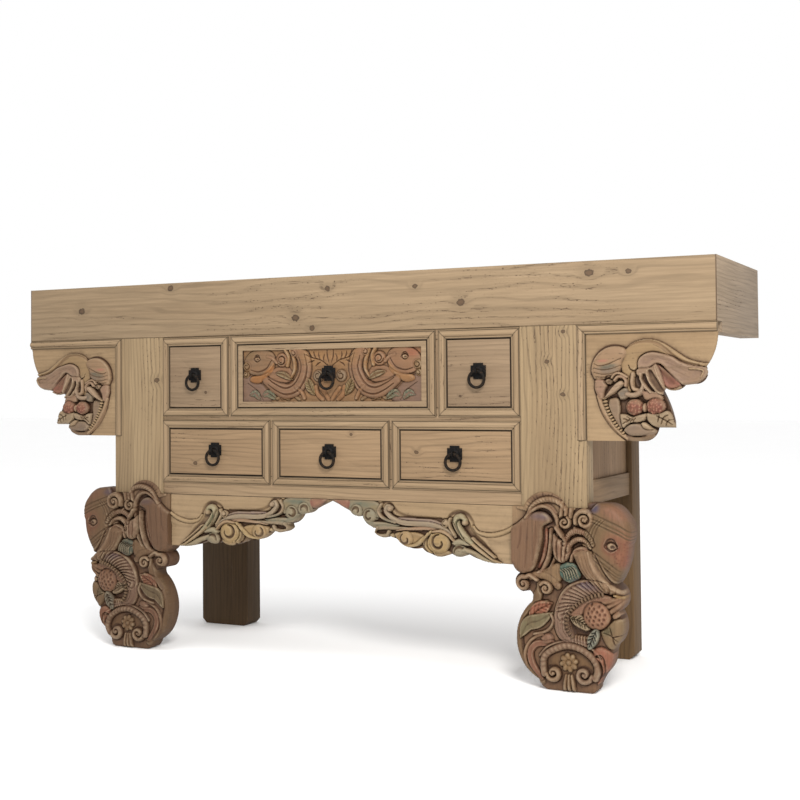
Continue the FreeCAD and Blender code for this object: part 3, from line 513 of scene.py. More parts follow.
class Carving:
    """Carving as a map of heights above a board's face, in millimetres, with a thin wash of colour on it.

    Strokes take places and widths in millimetres, a top height, the drop to the stroke's edge, and a wash.
    """

    def __init__(self, x0, x1, z0, z1, step, ground, colour=PINE, cover=0.0):
        self.step = step
        self.xs = np.arange(x0, x1 + step, step)
        self.zs = np.arange(z0, z1 + step, step)
        self.X, self.Z = np.meshgrid(self.xs, self.zs)
        self.H = np.full(self.X.shape, float(ground))
        self.wash = np.empty(self.X.shape + (3,))
        self.wash[:] = colour
        self.cover = np.full(self.X.shape, float(cover))

    def window(self, path, margin):
        """The rows and columns round a path, so that a stroke works on its own part of the map."""
        pts = np.array(path, float)
        low, high = pts.min(0) - margin, pts.max(0) + margin
        cols = slice(*np.searchsorted(self.xs, (low[0], high[0])))
        rows = slice(*np.searchsorted(self.zs, (low[1], high[1])))
        return rows, cols

    def stain(self, win, share, colour, cover):
        """Lays a wash where share is above 0; no colour thins out the old wash."""
        share = np.clip(share, 0, 1)
        if colour is None:
            self.cover[win] *= 1 - 0.6 * share
            return
        self.wash[win] += (np.array(colour) - self.wash[win]) * share[..., None]
        self.cover[win] += (cover - self.cover[win]) * share

    def lift(self, win, inside, crest, colour, cover):
        """Raises the map to a crest where the crest is higher."""
        raised = inside & (crest > self.H[win])
        self.H[win] = np.where(raised, crest, self.H[win])
        self.stain(win, raised.astype(float), colour, cover)

    def trench(self, win, d, half, depth):
        """A cut beside a form, so that it stands clear of what is behind it."""
        if depth:
            self.H[win] -= depth * np.exp(-((d - half) / 1.6) ** 2)

    def bar(self, points, width, top, drop=6.0, colour=None, cover=0.7, taper=(1, 1), trench=1.2, flute=0.0):
        """A rounded bar along a path; flute hollows it down the middle and leaves two thin edges."""
        path = smooth(points)
        win = self.window(path, width * max(taper) / 2 + 6)
        d, share, _, _ = measure(path, self.X[win], self.Z[win])
        thin = np.interp(share, np.linspace(0, 1, len(taper)), taper)
        half = np.maximum(width / 2 * thin, 0.4)
        t = np.clip(d / half, 0, 1)
        self.trench(win, d, half, trench)
        crest = top - drop * (1 - np.sqrt(1 - t ** 2)) - 0.4 * drop * np.clip(1 - thin, 0, 1)
        if flute:
            crest -= flute * np.clip(1 - (d / (0.62 * half)) ** 2, 0, 1)
        self.lift(win, d < half, crest, colour, cover)

    def pad(self, loop, top, edge=6.0, drop=6.0, colour=None, cover=0.7, trench=1.2, dish=0.0):
        """A raised field with a rounded edge; dish hollows it inside a thin rim."""
        ring = smooth_loop(loop)
        win = self.window(ring, 6)
        d, _, _, _ = measure(ring, self.X[win], self.Z[win], True)
        inside = within(ring, self.X[win], self.Z[win])
        self.trench(win, d, 0.0, trench)
        t = 1 - np.clip(d / edge, 0, 1)
        crest = top - drop * (1 - np.sqrt(1 - t ** 2))
        crest -= dish * np.clip((d - 0.35 * edge) / (1.4 * edge), 0, 1)
        self.lift(win, inside, crest, colour, cover)

    def sink(self, loop, level, edge=4.0, colour=None, cover=0.7):
        """A field cut down to a level, with sloping sides."""
        ring = smooth_loop(loop)
        win = self.window(ring, 2)
        d, _, _, _ = measure(ring, self.X[win], self.Z[win], True)
        inside = within(ring, self.X[win], self.Z[win])
        share = np.where(inside, np.clip(d / edge, 0, 1), 0)
        share = share * share * (3 - 2 * share)
        self.H[win] += (np.minimum(level, self.H[win]) - self.H[win]) * share
        self.stain(win, share, colour, cover)

    def cut(self, points, width, depth, taper=(0.4, 1, 0.4), colour=None, cover=0.7):
        """A gouged line."""
        path = smooth(points)
        win = self.window(path, width)
        d, share, _, _ = measure(path, self.X[win], self.Z[win])
        half = np.maximum(width / 2 * np.interp(share, np.linspace(0, 1, len(taper)), taper), 0.3)
        groove = np.clip(1 - (d / half) ** 2, 0, 1)
        self.H[win] -= depth * groove
        if colour:
            self.stain(win, groove, colour, cover)

    def ball(self, x, z, rx, rz, top, low, colour=None, cover=0.7, lean=0.0, trench=1.2):
        """A round or oval boss that rises from low to top."""
        reach = max(rx, rz)
        win = self.window([(x - reach, z - reach), (x + reach, z + reach)], 6)
        c, s = math.cos(math.radians(lean)), math.sin(math.radians(lean))
        dx, dz = self.X[win] - x, self.Z[win] - z
        r = np.hypot((dx * c + dz * s) / rx, (dz * c - dx * s) / rz)
        self.trench(win, r * min(rx, rz), min(rx, rz), trench)
        crest = low + (top - low) * np.sqrt(1 - np.clip(r, 0, 1) ** 2)
        self.lift(win, r < 1, crest, colour, cover)

    def glow(self, x, z, rx, rz, colour, cover, lean=0.0):
        """A soft patch of wash with no edge."""
        c, s = math.cos(math.radians(lean)), math.sin(math.radians(lean))
        dx, dz = self.X - x, self.Z - z
        r = np.hypot((dx * c + dz * s) / rx, (dz * c - dx * s) / rz)
        self.stain((slice(None), slice(None)), np.clip(1.5 - 1.5 * r, 0, 1) * cover, colour, 0.9)

    def spiral(self, x, z, r, start, turns, inner=0.18):
        """Points of a curl that winds in. Turns below 0 wind clockwise."""
        angles = np.linspace(0, abs(turns) * math.tau, int(14 * abs(turns)))
        reach = r * (1 - (1 - inner) * angles / angles[-1])
        way = math.radians(start) + math.copysign(1, turns) * angles
        return [(x + q * math.cos(a), z + q * math.sin(a)) for q, a in zip(reach, way)]

    def volute(self, x, z, r, start, turns, top, drop=6.0, width=None, colour=None, cover=0.7, lead=()):
        """A rolled curl, as a bar that winds in to a small eye; lead points come before it."""
        wide = width or 0.42 * r
        path = list(lead) + self.spiral(x, z, r - wide / 2, start, turns, 0.26)
        self.sink([(x + r * 0.9 * math.cos(a), z + r * 0.9 * math.sin(a)) for a in np.linspace(0, 5.5, 10)],
                  top - drop - 1.0, 3.0, colour, cover)
        self.bar(path, wide, top, drop, colour, cover, (0.8, 1, 0.85, 0.6), 1.0)
        self.ball(x, z, 0.24 * r, 0.24 * r, top - 0.5, top - drop, colour, cover, 0.0, 0.6)

    def scroll(self, x, z, r, start, turns, top, drop=6.0, colour=None, cover=0.7, groove=0.26):
        """A round boss with a curl cut into it."""
        self.ball(x, z, r, r, top, top - drop, colour, cover)
        self.cut(self.spiral(x, z, 0.7 * r, start, turns, 0.5), groove * r, 0.6 * drop, (0.3, 1, 1, 0.5), UMBER, 1.0)

    def leaf(self, spine, width, top, drop=4.0, colour=None, cover=0.7, pitch=8.0, vein=1.6, blunt=0.7):
        """A pointed leaf with a thin raised edge, a midrib cut and slanting veins."""
        path = smooth(spine)
        win = self.window(path, width / 2 + 6)
        d, share, _, total = measure(path, self.X[win], self.Z[win])
        half = np.maximum(width / 2 * np.sin(math.pi * np.clip(share, 0.02, 0.98)) ** blunt, 0.3)
        self.trench(win, d, half, 1.4)
        t = np.clip(d / half, 0, 1)
        crest = top - drop * (1 - t) ** 2 * 0.4 - drop * np.clip((t - 0.82) / 0.18, 0, 1) ** 2
        crest -= vein * 1.2 * np.exp(-(d / 1.4) ** 2)
        slant = ((share * total - 1.1 * d) / pitch) % 1.0
        crest -= vein * np.exp(-((slant - 0.5) * pitch / 1.2) ** 2) * (t < 0.8)
        self.lift(win, d < half, crest, colour, cover)

    def ribs(self, points, width, pitch, depth, lean=0.0):
        """Gouge cuts across a path; lean slants them."""
        path = smooth(points)
        win = self.window(path, width / 2)
        d, share, side, total = measure(path, self.X[win], self.Z[win])
        beat = np.abs(np.sin(math.pi * (share * total + lean * d * side) / pitch))
        fade = np.clip((width / 2 - d) / 2.5, 0, 1)
        self.H[win] += depth * (beat - 0.6) * fade

    def veins(self, spine, reach, count, width, depth, colour):
        """A midrib and pairs of slanting side cuts, darkened with a colour."""
        self.cut(spine, width, depth, (0.5, 1, 0.4), colour, 0.95)
        path = smooth(spine)
        for k in range(count):
            i = int((k + 0.6) / (count + 0.5) * (len(path) - 2))
            (ax, az), (bx, bz) = path[i], path[i + 1]
            run = math.hypot(bx - ax, bz - az)
            q = 0.75 * reach * (1.0 - 0.45 * abs(2 * (k + 0.5) / count - 1)) / run
            for s in (1, -1):
                tip = (ax + q * (bx - ax - s * (bz - az)), az + q * (bz - az + s * (bx - ax)))
                self.cut([(ax, az), tip], 1.15 * width, depth, (0.5, 1, 0.6), colour, 0.95)

    def pits(self, x, z, r, pitch, size, depth, lean=0.0, colour=None, stray=0.12):
        """Rows of small dents inside a circle; a depth below 0 gives grains instead."""
        win = self.window([(x - r, z - r), (x + r, z + r)], 2)
        rows = int(r / pitch) + 1
        c, s = math.cos(math.radians(lean)), math.sin(math.radians(lean))
        rng = np.random.default_rng(int(x + z))
        for i in range(-rows, rows + 1):
            for j in range(-rows, rows + 1):
                px, pz = np.array(((j + 0.5 * (i % 2)) * pitch, i * pitch * 0.87)) + rng.normal(size=2) * stray * pitch
                if math.hypot(px, pz) > r - size:
                    continue
                qx, qz = x + px * c - pz * s, z + px * s + pz * c
                dent = np.exp(-(np.hypot(self.X[win] - qx, (self.Z[win] - qz) * 0.8) / size) ** 2)
                self.H[win] -= depth * dent
                if colour:
                    self.stain(win, dent, colour, 0.9)

    def eye(self, x, z, r, top, colour=BRICK, iris=(0.56, 0.46, 0.34)):
        """A ball under two dark lid lines, and one below it."""
        ring = [(x + 1.5 * r * math.cos(a), z + 1.15 * r * math.sin(a)) for a in np.linspace(0, 5.6, 9)]
        self.sink(ring, top - 2.0, 0.6 * r, colour, 1.0)
        self.ball(x, z - 0.1 * r, 0.9 * r, 0.66 * r, top + 0.7, top - 2.5, iris, 1.0, -15, 1.4)
        self.cut([(x + 0.05 * r, z - 0.2 * r), (x + 0.25 * r, z - 0.05 * r), (x + 0.45 * r, z - 0.2 * r)], 0.8 * r, 2.4,
                 (1, 1, 1), INK, 1.0)
        for up in (0.0, 0.55):
            self.cut([(x - 1.45 * r, z + (0.5 * up - 0.15) * r), (x - 0.6 * r, z + (0.72 + up) * r),
                      (x + 0.4 * r, z + (0.75 + up) * r), (x + 1.4 * r, z + (0.6 * up - 0.3) * r)], 0.5 * r, 2.6,
                     (0.4, 1, 1, 0.3), INK, 1.0)
        self.cut([(x - 1.3 * r, z - 0.3 * r), (x - 0.1 * r, z - r), (x + 1.3 * r, z - 0.4 * r)], 0.38 * r, 2.2,
                 (0.4, 1, 0.4), INK, 1.0)

    def rosette(self, x, z, r, top, petals, colour=None, cover=0.7):
        """A ring of petals round a button."""
        for k in range(petals):
            a = math.tau * (k + 0.25) / petals
            self.ball(x + 0.6 * r * math.cos(a), z + 0.6 * r * math.sin(a), 0.44 * r, 0.32 * r, top, top - 4.0, colour,
                      cover, math.degrees(a), 0.8)
        self.ball(x, z, 0.3 * r, 0.3 * r, top + 0.8, top - 3.0, colour, cover, 0.0, 0.8)

    def tooling(self, amount, seed):
        """The uneven trace of hand tools."""
        rng = np.random.default_rng(seed)
        coarse = blurred(rng.normal(size=self.H.shape), 5.0)
        fine = blurred(rng.normal(size=self.H.shape), 1.6)
        self.H += amount * (coarse / coarse.std() * 0.7 + fine / fine.std() * 0.3)

    def hollows(self):
        """How far each point lies below the mean of what is round it; below 0 on thin ridges only."""
        near = blurred(self.H, 2.4 / self.step) - self.H
        wide = blurred(self.H, 8.0 / self.step) - self.H
        depth = near * 0.6 + wide * 0.7
        return np.where(depth < 0, np.minimum(near * 2.0, 0), depth)

    def deepen(self, share, plane):
        """Draws the relief out from a plane that stays where it is."""
        self.H = plane + (self.H - plane) * share

    def piece(self, name, outline, free, face, back, low, round_r, finish, mirror, towards=(0, 0), slope=0.0):
        """The part of the map inside an outline as a closed board, its free edges rounded down to low.

        With a slope, the back is smaller by that share and its edges lean in towards a point.
        """
        gap = self.step
        ring = np.array(outline, float)
        win = self.window(ring, 2 * gap)
        X, Z = self.X[win], self.Z[win]
        H = self.H[win].copy()
        d, _, _, _ = measure(ring, X, Z, True)
        inside = within(ring, X, Z)
        keep = inside | (d < 0.45 * gap)
        if free is not None:
            e, _, _, _ = measure(free, X, Z)
            t = 1 - np.clip(np.where(inside, e, 0) / round_r, 0, 1)
            H = low + (H - low) * np.sqrt(1 - t ** 2 * 0.98)
        # the hollows map gives the finish its stain and painted shade in recesses, and its worn ridges with painted
        # highlight
        hollow = self.hollows()[win]
        for _ in range(6):
            faces = grid_faces(keep)
            rim = rim_edges(faces)
            starts, counts = np.unique(rim[:, 0], return_counts=True)
            bad = starts[counts > 1]
            if not len(bad):
                break
            keep.flat[bad] = False
        used = np.unique(np.concatenate([f for f in faces if f is not None and len(f)], axis=None))
        index = np.full(X.size, -1)
        index[used] = np.arange(len(used))
        px, pz = X.flat[used].copy(), Z.flat[used].copy()
        edge = index[np.unique(rim)]
        px[edge], pz[edge] = snapped(ring, px[edge], pz[edge])
        front = np.column_stack([px * mirror, face - H.flat[used], pz])
        rim = index[rim]
        follow = dict(zip(rim[:, 0], rim[:, 1]))
        loops = []
        while follow:
            first = next(iter(follow))
            loop = [first]
            here = follow.pop(first)
            while here != first:
                loop.append(here)
                here = follow.pop(here)
            loops.append(loop)
        verts = front.tolist()
        polys = [index[f].tolist() for group in faces if group is not None for f in group]
        hollows = hollow.flat[used].tolist()
        covers = self.cover[win].flat[used].tolist()
        washes = (self.wash[win].reshape(-1, 3)[used] / LIT).tolist()
        for loop in loops:
            base = len(verts)
            span = len(loop)
            for v in loop:
                x, _, z = verts[v]
                verts.append([x + (mirror * towards[0] - x) * slope, back, z + (towards[1] - z) * slope])
                # the sides darken towards the back, partly as painted shade
                hollows.append(SAWN_HOLLOW)
                covers.append(SAWN_COVER)
                washes.append(seen(SAWN))
            for k in range(span):
                a, b = loop[k], loop[(k + 1) % span]
                polys.append([b, a, base + k, base + (k + 1) % span])
            polys.append([base + k for k in reversed(range(span))])
        if mirror < 0:
            polys = [p[::-1] for p in polys]
        obj = new_piece(name, [[c * MM for c in v] for v in verts], polys, finish)
        mesh = obj.data
        for key, kind, values in (("hollow", "FLOAT", hollows), ("cover", "FLOAT", covers)):
            mesh.attributes.new(key, kind, "POINT").data.foreach_set("value", values)
        colours = np.column_stack([washes, np.ones(len(washes))]).ravel()
        mesh.attributes.new("wash", "FLOAT_COLOR", "POINT").data.foreach_set("color", colours)
        mesh.set_sharp_from_angle(angle=CARVED_CREASE)
        return obj


def grid_faces(keep):
    """Squares, and triangles at the rim, over the kept points of a grid."""
    rows, cols = keep.shape
    number = np.arange(rows * cols).reshape(rows, cols)
    corner = [number[:-1, :-1], number[:-1, 1:], number[1:, 1:], number[1:, :-1]]
    kept = [keep.flat[c] for c in corner]
    count = sum(k.astype(int) for k in kept)
    full = count == 4
    groups = [np.column_stack([c[full] for c in corner])]
    for miss in range(4):
        part = (count == 3) & ~kept[miss]
        order = [(miss + k) % 4 for k in (1, 2, 3)]
        groups.append(np.column_stack([corner[o][part] for o in order]))
    return groups


def rim_edges(groups):
    """Edges that only one face uses, in that face's direction."""
    pairs = np.vstack([np.column_stack([g[:, k], g[:, (k + 1) % g.shape[1]]])
                       for g in groups if len(g) for k in range(g.shape[1])])
    big = pairs.max() + 1
    forward = pairs[:, 0].astype(np.int64) * big + pairs[:, 1]
    backward = pairs[:, 1].astype(np.int64) * big + pairs[:, 0]
    return pairs[~np.isin(forward, backward)]


def snapped(ring, px, pz):
    """Points moved to the nearest place on a closed outline."""
    pts = np.vstack([ring, ring[:1]])
    best = np.full(px.shape, 1e9)
    qx, qz = px.copy(), pz.copy()
    for (ax, az), (bx, bz) in zip(pts, pts[1:]):
        run = (bx - ax) ** 2 + (bz - az) ** 2
        if run < 1e-9:
            continue
        t = np.clip(((px - ax) * (bx - ax) + (pz - az) * (bz - az)) / run, 0, 1)
        sx, sz = ax + t * (bx - ax), az + t * (bz - az)
        d = np.hypot(px - sx, pz - sz)
        closer = d < best
        best = np.where(closer, d, best)
        qx, qz = np.where(closer, sx, qx), np.where(closer, sz, qz)
    return qx, qz


def new_piece(name, verts, polys, finish):
    """A smooth-shaded mesh in metres, in the scene and with its finish."""
    mesh = bpy.data.meshes.new(name)
    mesh.from_pydata(verts, [], polys)
    mesh.update()
    mesh.polygons.foreach_set("use_smooth", [True] * len(mesh.polygons))
    obj = bpy.data.objects.new(name, mesh)
    bpy.context.scene.collection.objects.link(obj)
    mesh.materials.append(FINISH[finish])
    return obj


def settle(obj, body, slot, *nodes):
    """Puts a finished piece on its body and hides the nodes it stands for; its slot is not used."""
    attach(obj, body)
    if nodes:
        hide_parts(*nodes)


# Carved legs: an elephant's head with its ear, tusk and curled trunk above a bulbous foot
def leg_carving():
    c = Carving(425, 700, -4, 405, 1.2, 4.0, (0.31, 0.215, 0.14), 0.8)
    c.ball(560, 85, 130, 112, 9, 2, (0.31, 0.21, 0.135), 0.8, trench=0)
    c.bar([(490, 200), (478, 178), (455, 148), (442, 108), (446, 74), (464, 42), (494, 18)], 18, 10, 6, OLIVE, 0.55,
          trench=0.6)
    c.cut([(487, 172), (464, 142), (454, 106), (459, 76), (476, 44)], 5, 3)
    # hood over the ear, and the ear's folds
    c.pad([(420, 316), (440, 324), (456, 340), (468, 360), (486, 378), (510, 384), (534, 380), (556, 366), (566, 376),
           (560, 410), (420, 410)], 5.5, 8, 1, BARE, 0.95, 0.0)
    c.pad([(444, 366), (462, 388), (484, 403), (507, 409), (530, 403), (550, 388), (568, 366), (506, 352)], 8.5, 8, 1,
          BARE, 0.95, 0.0)
    c.glow(505, 389, 60, 14, (0.22, 0.145, 0.095), 1.0)
    for k in range(17):
        turn = math.radians(24 + 8.4 * k)
        ray = [(508 + q * math.cos(turn), 350 + q * math.sin(turn)) for q in (36, 43, 51 + 6 * math.sin(2.3 * k))]
        c.cut(ray, 3.2, 0.8, (0.8, 1, 0.1), WALNUT, 0.95)
    c.bar([(424, 308), (440, 317), (453, 331), (463, 346), (469, 358)], 13, 10, 6, BARE, 0.95, (0.8, 1, 0.8), 1.0)
    c.bar([(468, 354), (478, 371), (495, 383), (516, 387), (536, 381), (549, 367)], 12, 14, 8, (0.42, 0.32, 0.22),
          0.9, (0.7, 1, 1, 0.8), 1.2)
    c.ribs([(478, 372), (495, 384), (516, 388), (536, 382)], 11, 7.0, 1.6, 0.5)
    c.bar([(470, 350), (482, 366), (499, 375), (517, 373), (529, 360)], 7, 11, 6, (0.36, 0.26, 0.18), 0.9)
    # violet painted shadow in the sunk field under the hood
    c.sink([(462, 345), (478, 362), (500, 371), (520, 364), (528, 345), (515, 330), (480, 330)], 3, 5, VIOLET_SHADOW, 0.8)
    c.pad([(424, 322), (446, 338), (462, 351), (480, 360), (500, 361), (514, 353), (519, 342), (508, 336), (500, 328),
           (498, 304), (489, 270), (481, 246), (468, 235), (448, 233), (426, 233), (415, 260), (414, 300)], 13, 9, 8,
          (0.30, 0.205, 0.14), 0.9, trench=1.8)
    for x, low, wide in ((447, 286, 9), (462, 246, 7), (479, 262, 11)):
        c.cut([(x + 8, 342), (x + 5, 305), (x, low)], wide, 0.8, (0.2, 1, 0.5), (0.235, 0.15, 0.10), 0.85)
    # soft violet painted shadow under the hood
    c.glow(500, 354, 36, 13, (0.19, 0.17, 0.24), 0.8)
    c.bar([(464, 348), (479, 364), (498, 373), (517, 368), (529, 352), (533, 334)], 8, 13, 5, (0.36, 0.25, 0.17), 0.8)
    c.sink([(503, 326), (522, 330), (528, 300), (522, 265), (507, 243), (488, 239), (484, 251), (493, 282), (500, 310)],
           -3, 4, OXBLOOD, 0.95)
    c.bar([(505, 326), (504, 300), (498, 270), (488, 247)], 9, 4, 4, (0.36, 0.13, 0.09), 0.95, (0.7, 1, 1, 0.8), 0.6)
    c.bar([(517, 326), (516, 298), (510, 268), (498, 243), (488, 237)], 8, 12, 8, (0.36, 0.24, 0.17), 0.9,
          (0.8, 1, 1, 1.2, 0.9), 1.8)
    c.bar([(532, 330), (531, 298), (525, 268), (511, 243)], 6, 11, 6, EARTH, 0.7)
    # fluted lobe, tassels and the two curls
    c.pad([(523, 318), (531, 312), (541, 307), (551, 305), (558, 300), (561, 285), (555, 269), (545, 260), (533, 262),
           (524, 275), (521, 298)], 17, 8, 11, (0.37, 0.245, 0.18), 0.9, trench=2.4)
    for x in (532, 543, 552):
        c.cut([(x + 2, 312), (x, 287), (x * 0.7 + 162, 264)], 5, 3.6)
    c.bar([(531, 331), (541, 317), (550, 303)], 8, 19, 8, (0.37, 0.25, 0.18), 0.8, (1, 1, 0.4))
    for x in (541, 551, 561):
        c.bar([(x + 2, 382), (x, 366), (x - 2, 352)], 10, 12, 6, (0.44, 0.33, 0.22), 0.8, (0.7, 1, 0.9))
    c.volute(547, 341, 16, 60, -1.2, 14, 7, 7.5, (0.39, 0.29, 0.19))
    c.volute(591, 348, 26, 200, -1.5, 18, 9, 11, (0.40, 0.30, 0.20), 0.85)
    c.bar([(568, 330), (577, 322), (592, 319), (606, 324), (614, 336)], 9, 12, 7, CLAY, 0.5)
    # head
    c.ball(650, 303, 67, 93, 20, 6, OLIVE, 0.75, 0, 1.8)
    c.ball(668, 232, 34, 34, 14, 6, OLIVE, 0.6, 0, 0.8)
    c.glow(656, 364, 52, 24, (0.39, 0.225, 0.165), 0.9, -18)
    c.glow(664, 300, 42, 48, (0.42, 0.20, 0.135), 0.9)
    c.glow(680, 268, 26, 26, (0.43, 0.17, 0.115), 0.85)
    c.glow(649, 298, 25, 21, (0.22, 0.07, 0.05), 1.0)
    c.glow(610, 372, 16, 13, (0.09, 0.11, 0.25), 1.0)
    c.pits(674, 282, 28, 6.5, 1.3, 0.6, 20, (0.27, 0.09, 0.06), 0.3)
    for dz in (0, 10, 17):
        for line in ([(606, 362 - dz), (640, 349 - dz), (668, 337 - dz), (694, 320 - dz)],
                     [(604, 290 - dz), (630, 273 - dz), (664, 249 - dz)]):
            c.cut(line, 5.5, 1.4 if dz != 10 else 0.9, (0.4, 1, 0.4), MOSS, 0.9)
    for dx in (0, 7, 14):
        c.cut([(634 - dx, 350), (620 - dx, 335), (612 - dx, 316), (609 - dx, 300)], 5, 1.2, (0.4, 1, 0.4), MOSS, 0.9)
    c.eye(648, 299, 10.0, 19, (0.20, 0.065, 0.045))
    # collar and tusk
    for ring, wide, top in (
            ([(547, 300), (554, 315), (565, 323), (578, 325), (591, 321), (602, 311), (608, 300)], 14, 12),
            ([(554, 284), (560, 298), (571, 307), (584, 308), (596, 302), (603, 293)], 11, 14),
            ([(560, 264), (565, 279), (575, 288), (590, 290), (604, 283)], 9, 15)):
        c.bar(ring, wide, top, 10, (0.37, 0.24, 0.17), 0.85, (0.7, 1, 1, 0.8), 2.6)
        if wide > 9:
            c.ribs(ring, wide - 1, 4.6, 1.6)
    c.pad([(564, 282), (569, 267), (582, 242), (603, 220), (627, 206), (656, 201), (676, 202), (652, 222), (637, 237),
           (625, 256), (614, 276), (604, 288), (584, 290)], 18, 15, 12, (0.36, 0.27, 0.175), 0.85, trench=2.2)
    c.bar([(598, 284), (605, 262), (618, 240), (638, 221), (664, 207)], 13, 20, 8, (0.47, 0.37, 0.26), 0.9,
          (0.5, 1, 1, 0.5), 0.5)
    for k in (0, 1, 2):
        c.cut([(576 + 8 * k, 276), (586 + 7 * k, 248), (606 + 5 * k, 226 + 2 * k)], 3.4, 1.2)
    c.bar([(616, 280), (627, 258), (640, 240), (656, 224), (680, 206)], 7, 17, 6, OLIVE, 0.7, (0.6, 1, 1, 0.6))
    c.bar([(650, 201), (664, 197), (678, 198), (684, 206)], 7, 14, 5, (0.47, 0.34, 0.14), 0.95)
    c.cut([(648, 193), (660, 191), (674, 194)], 3.4, 3.0, (0.5, 1, 0.5), UMBER)
    # ribbed patch and the soft neck left of it
    c.pad([(486, 232), (508, 248), (532, 260), (544, 252), (540, 228), (525, 213), (503, 220)], 11, 10, 7,
          (0.39, 0.30, 0.18), 0.85)
    c.pad([(535, 254), (552, 262), (569, 258), (580, 240), (575, 227), (558, 219), (542, 226), (534, 240)], 13, 9, 8,
          (0.07, 0.25, 0.25), 1.0)
    for k in range(6):
        c.bar([(538 + 5 * k, 246 + 1.6 * k), (546 + 5 * k, 241 + 1.4 * k), (549 + 5.6 * k, 226 + k)], 3.4, 15.5, 3,
              (0.30, 0.46, 0.42), 0.9, (0.5, 1, 0.5), 1.4)
    # trunk curling round the pomegranate
    c.bar([(644, 212), (612, 214), (582, 206), (557, 189), (542, 164), (538, 138), (546, 115), (566, 102), (594, 98)],
          37, 15, 9, (0.38, 0.285, 0.24), 0.9, (0.6, 1, 1, 0.85, 0.5), 2.0)
    c.glow(590, 219, 36, 12, (0.18, 0.165, 0.27), 1.0, -12)
    c.ribs([(630, 212), (600, 210), (573, 199), (553, 180), (543, 156)], 36, 8.6, 3.4, 0.75)
    for dx in (0, 7):
        c.cut([(556 + dx, 178), (543 + dx, 152), (543 + dx, 126), (552 + dx, 112)], 4, 1.6)
    c.bar([(606, 229), (567, 219), (543, 199), (529, 166), (527, 132), (539, 107), (574, 94)], 9, 12, 5,
          (0.31, 0.23, 0.175), 0.85, (0.6, 1, 1, 0.6))
    c.sink([(634, 204), (604, 195), (579, 181), (562, 164), (555, 150), (558, 125), (572, 112), (602, 110), (644, 150)],
           4, 4, (0.21, 0.135, 0.09), 0.9)
    c.pad([(553, 154), (572, 177), (592, 190), (625, 201), (648, 194), (634, 183), (607, 179), (588, 160),
           (568, 150)], 13, 7, 7, (0.44, 0.28, 0.21), 0.9)
    for k in range(7):
        c.bar([(562 + 6 * k, 114 - 0.3 * k), (563 + 6 * k, 104), (565 + 6 * k, 94)], 5.4, 11, 5, (0.38, 0.25, 0.18),
              0.8)
    # pomegranate with its leaves
    c.pad([(556, 150), (568, 159), (583, 157), (594, 146), (600, 133), (592, 126), (576, 131), (562, 140)], 13, 5, 5,
          (0.46, 0.42, 0.30), 0.95)
    c.veins([(558, 149), (576, 146), (600, 131)], 12, 6, 3.0, 2.6, (0.05, 0.06, 0.035))
    c.pad([(620, 128), (632, 98), (650, 92), (670, 106), (676, 126), (668, 150), (648, 152)], 12, 9, 7,
          (0.37, 0.31, 0.19), 0.85)
    c.cut([(626, 126), (642, 120), (660, 104)], 3.4, 2.4)
    for px, pz in ((640, 137), (650, 97), (664, 122)):
        c.cut([(645, 118), (px, pz)], 3.4, 2.6, (0.5, 1, 0.5), UMBER)
    c.glow(634, 130, 17, 13, (0.10, 0.13, 0.065), 0.95)
    for dx, dz in ((0, 0), (9, -8), (-7, 9), (16, -17)):
        c.bar([(634 + dx, 176 + dz), (650 + dx, 184 + dz * 0.6), (671 + dx * 0.2, 195 + dz * 0.3)], 11, 13, 6,
              (0.42, 0.28, 0.185), 0.8, (1, 1, 0.5))
    c.ball(613, 158, 28.5, 28.5, 20, 7, (0.50, 0.30, 0.205), 0.95, 0, 2.2)
    c.pits(613, 158, 27, 9.8, 2.5, 3.2, 12, (0.17, 0.06, 0.04), 0.07)
    c.pad([(594, 90), (604, 93), (614, 104), (619, 121), (613, 133), (601, 125), (593, 110)], 16, 4, 5,
          (0.19, 0.36, 0.38), 0.95)
    c.veins([(613, 129), (605, 113), (597, 94)], 11, 4, 4.0, 3.0, (0.015, 0.05, 0.07))
    # scrolls and leaves on the inner edge
    c.bar([(470, 228), (492, 232), (514, 226), (530, 212)], 16, 10, 6, (0.39, 0.29, 0.185), 0.8)
    c.volute(457, 213, 20, 70, 1.2, 15, 8, 10, (0.36, 0.25, 0.175), 0.85, [(487, 222), (472, 231)])
    c.bar([(492, 214), (489, 190), (484, 168)], 14, 10, 6, OLIVE, 0.6)
    c.volute(505, 206, 18, 150, -1.2, 13, 7, 9.5, (0.40, 0.29, 0.19), 0.85)
    c.leaf([(470, 142), (488, 161), (516, 176)], 31, 11, 3, (0.43, 0.17, 0.11), 0.95, 10)
    c.bar([(456, 146), (470, 164), (486, 174), (506, 178)], 7, 10, 4, OLIVE, 0.6)
    c.leaf([(450, 104), (466, 131), (490, 140), (518, 156)], 30, 12, 3, (0.26, 0.27, 0.17), 0.95, 60, 0.8)
    c.bar([(516, 154), (521, 142), (514, 127), (500, 117), (480, 112)], 7, 12, 5, (0.34, 0.25, 0.18), 0.8)
    c.ball(507, 104, 15, 12, 13, 5, (0.38, 0.24, 0.18), 0.85, 20)
    c.bar([(518, 98), (504, 94), (490, 94), (478, 88), (470, 74), (474, 52), (494, 24)], 15, 12, 7, (0.36, 0.19, 0.14),
          0.9, (0.7, 1, 1, 0.7), 1.8, 2.0)
    c.bar([(498, 112), (480, 105), (465, 90), (458, 66), (465, 42), (482, 24)], 9, 10, 5, (0.38, 0.27, 0.18), 0.85,
          (0.7, 1, 0.6))
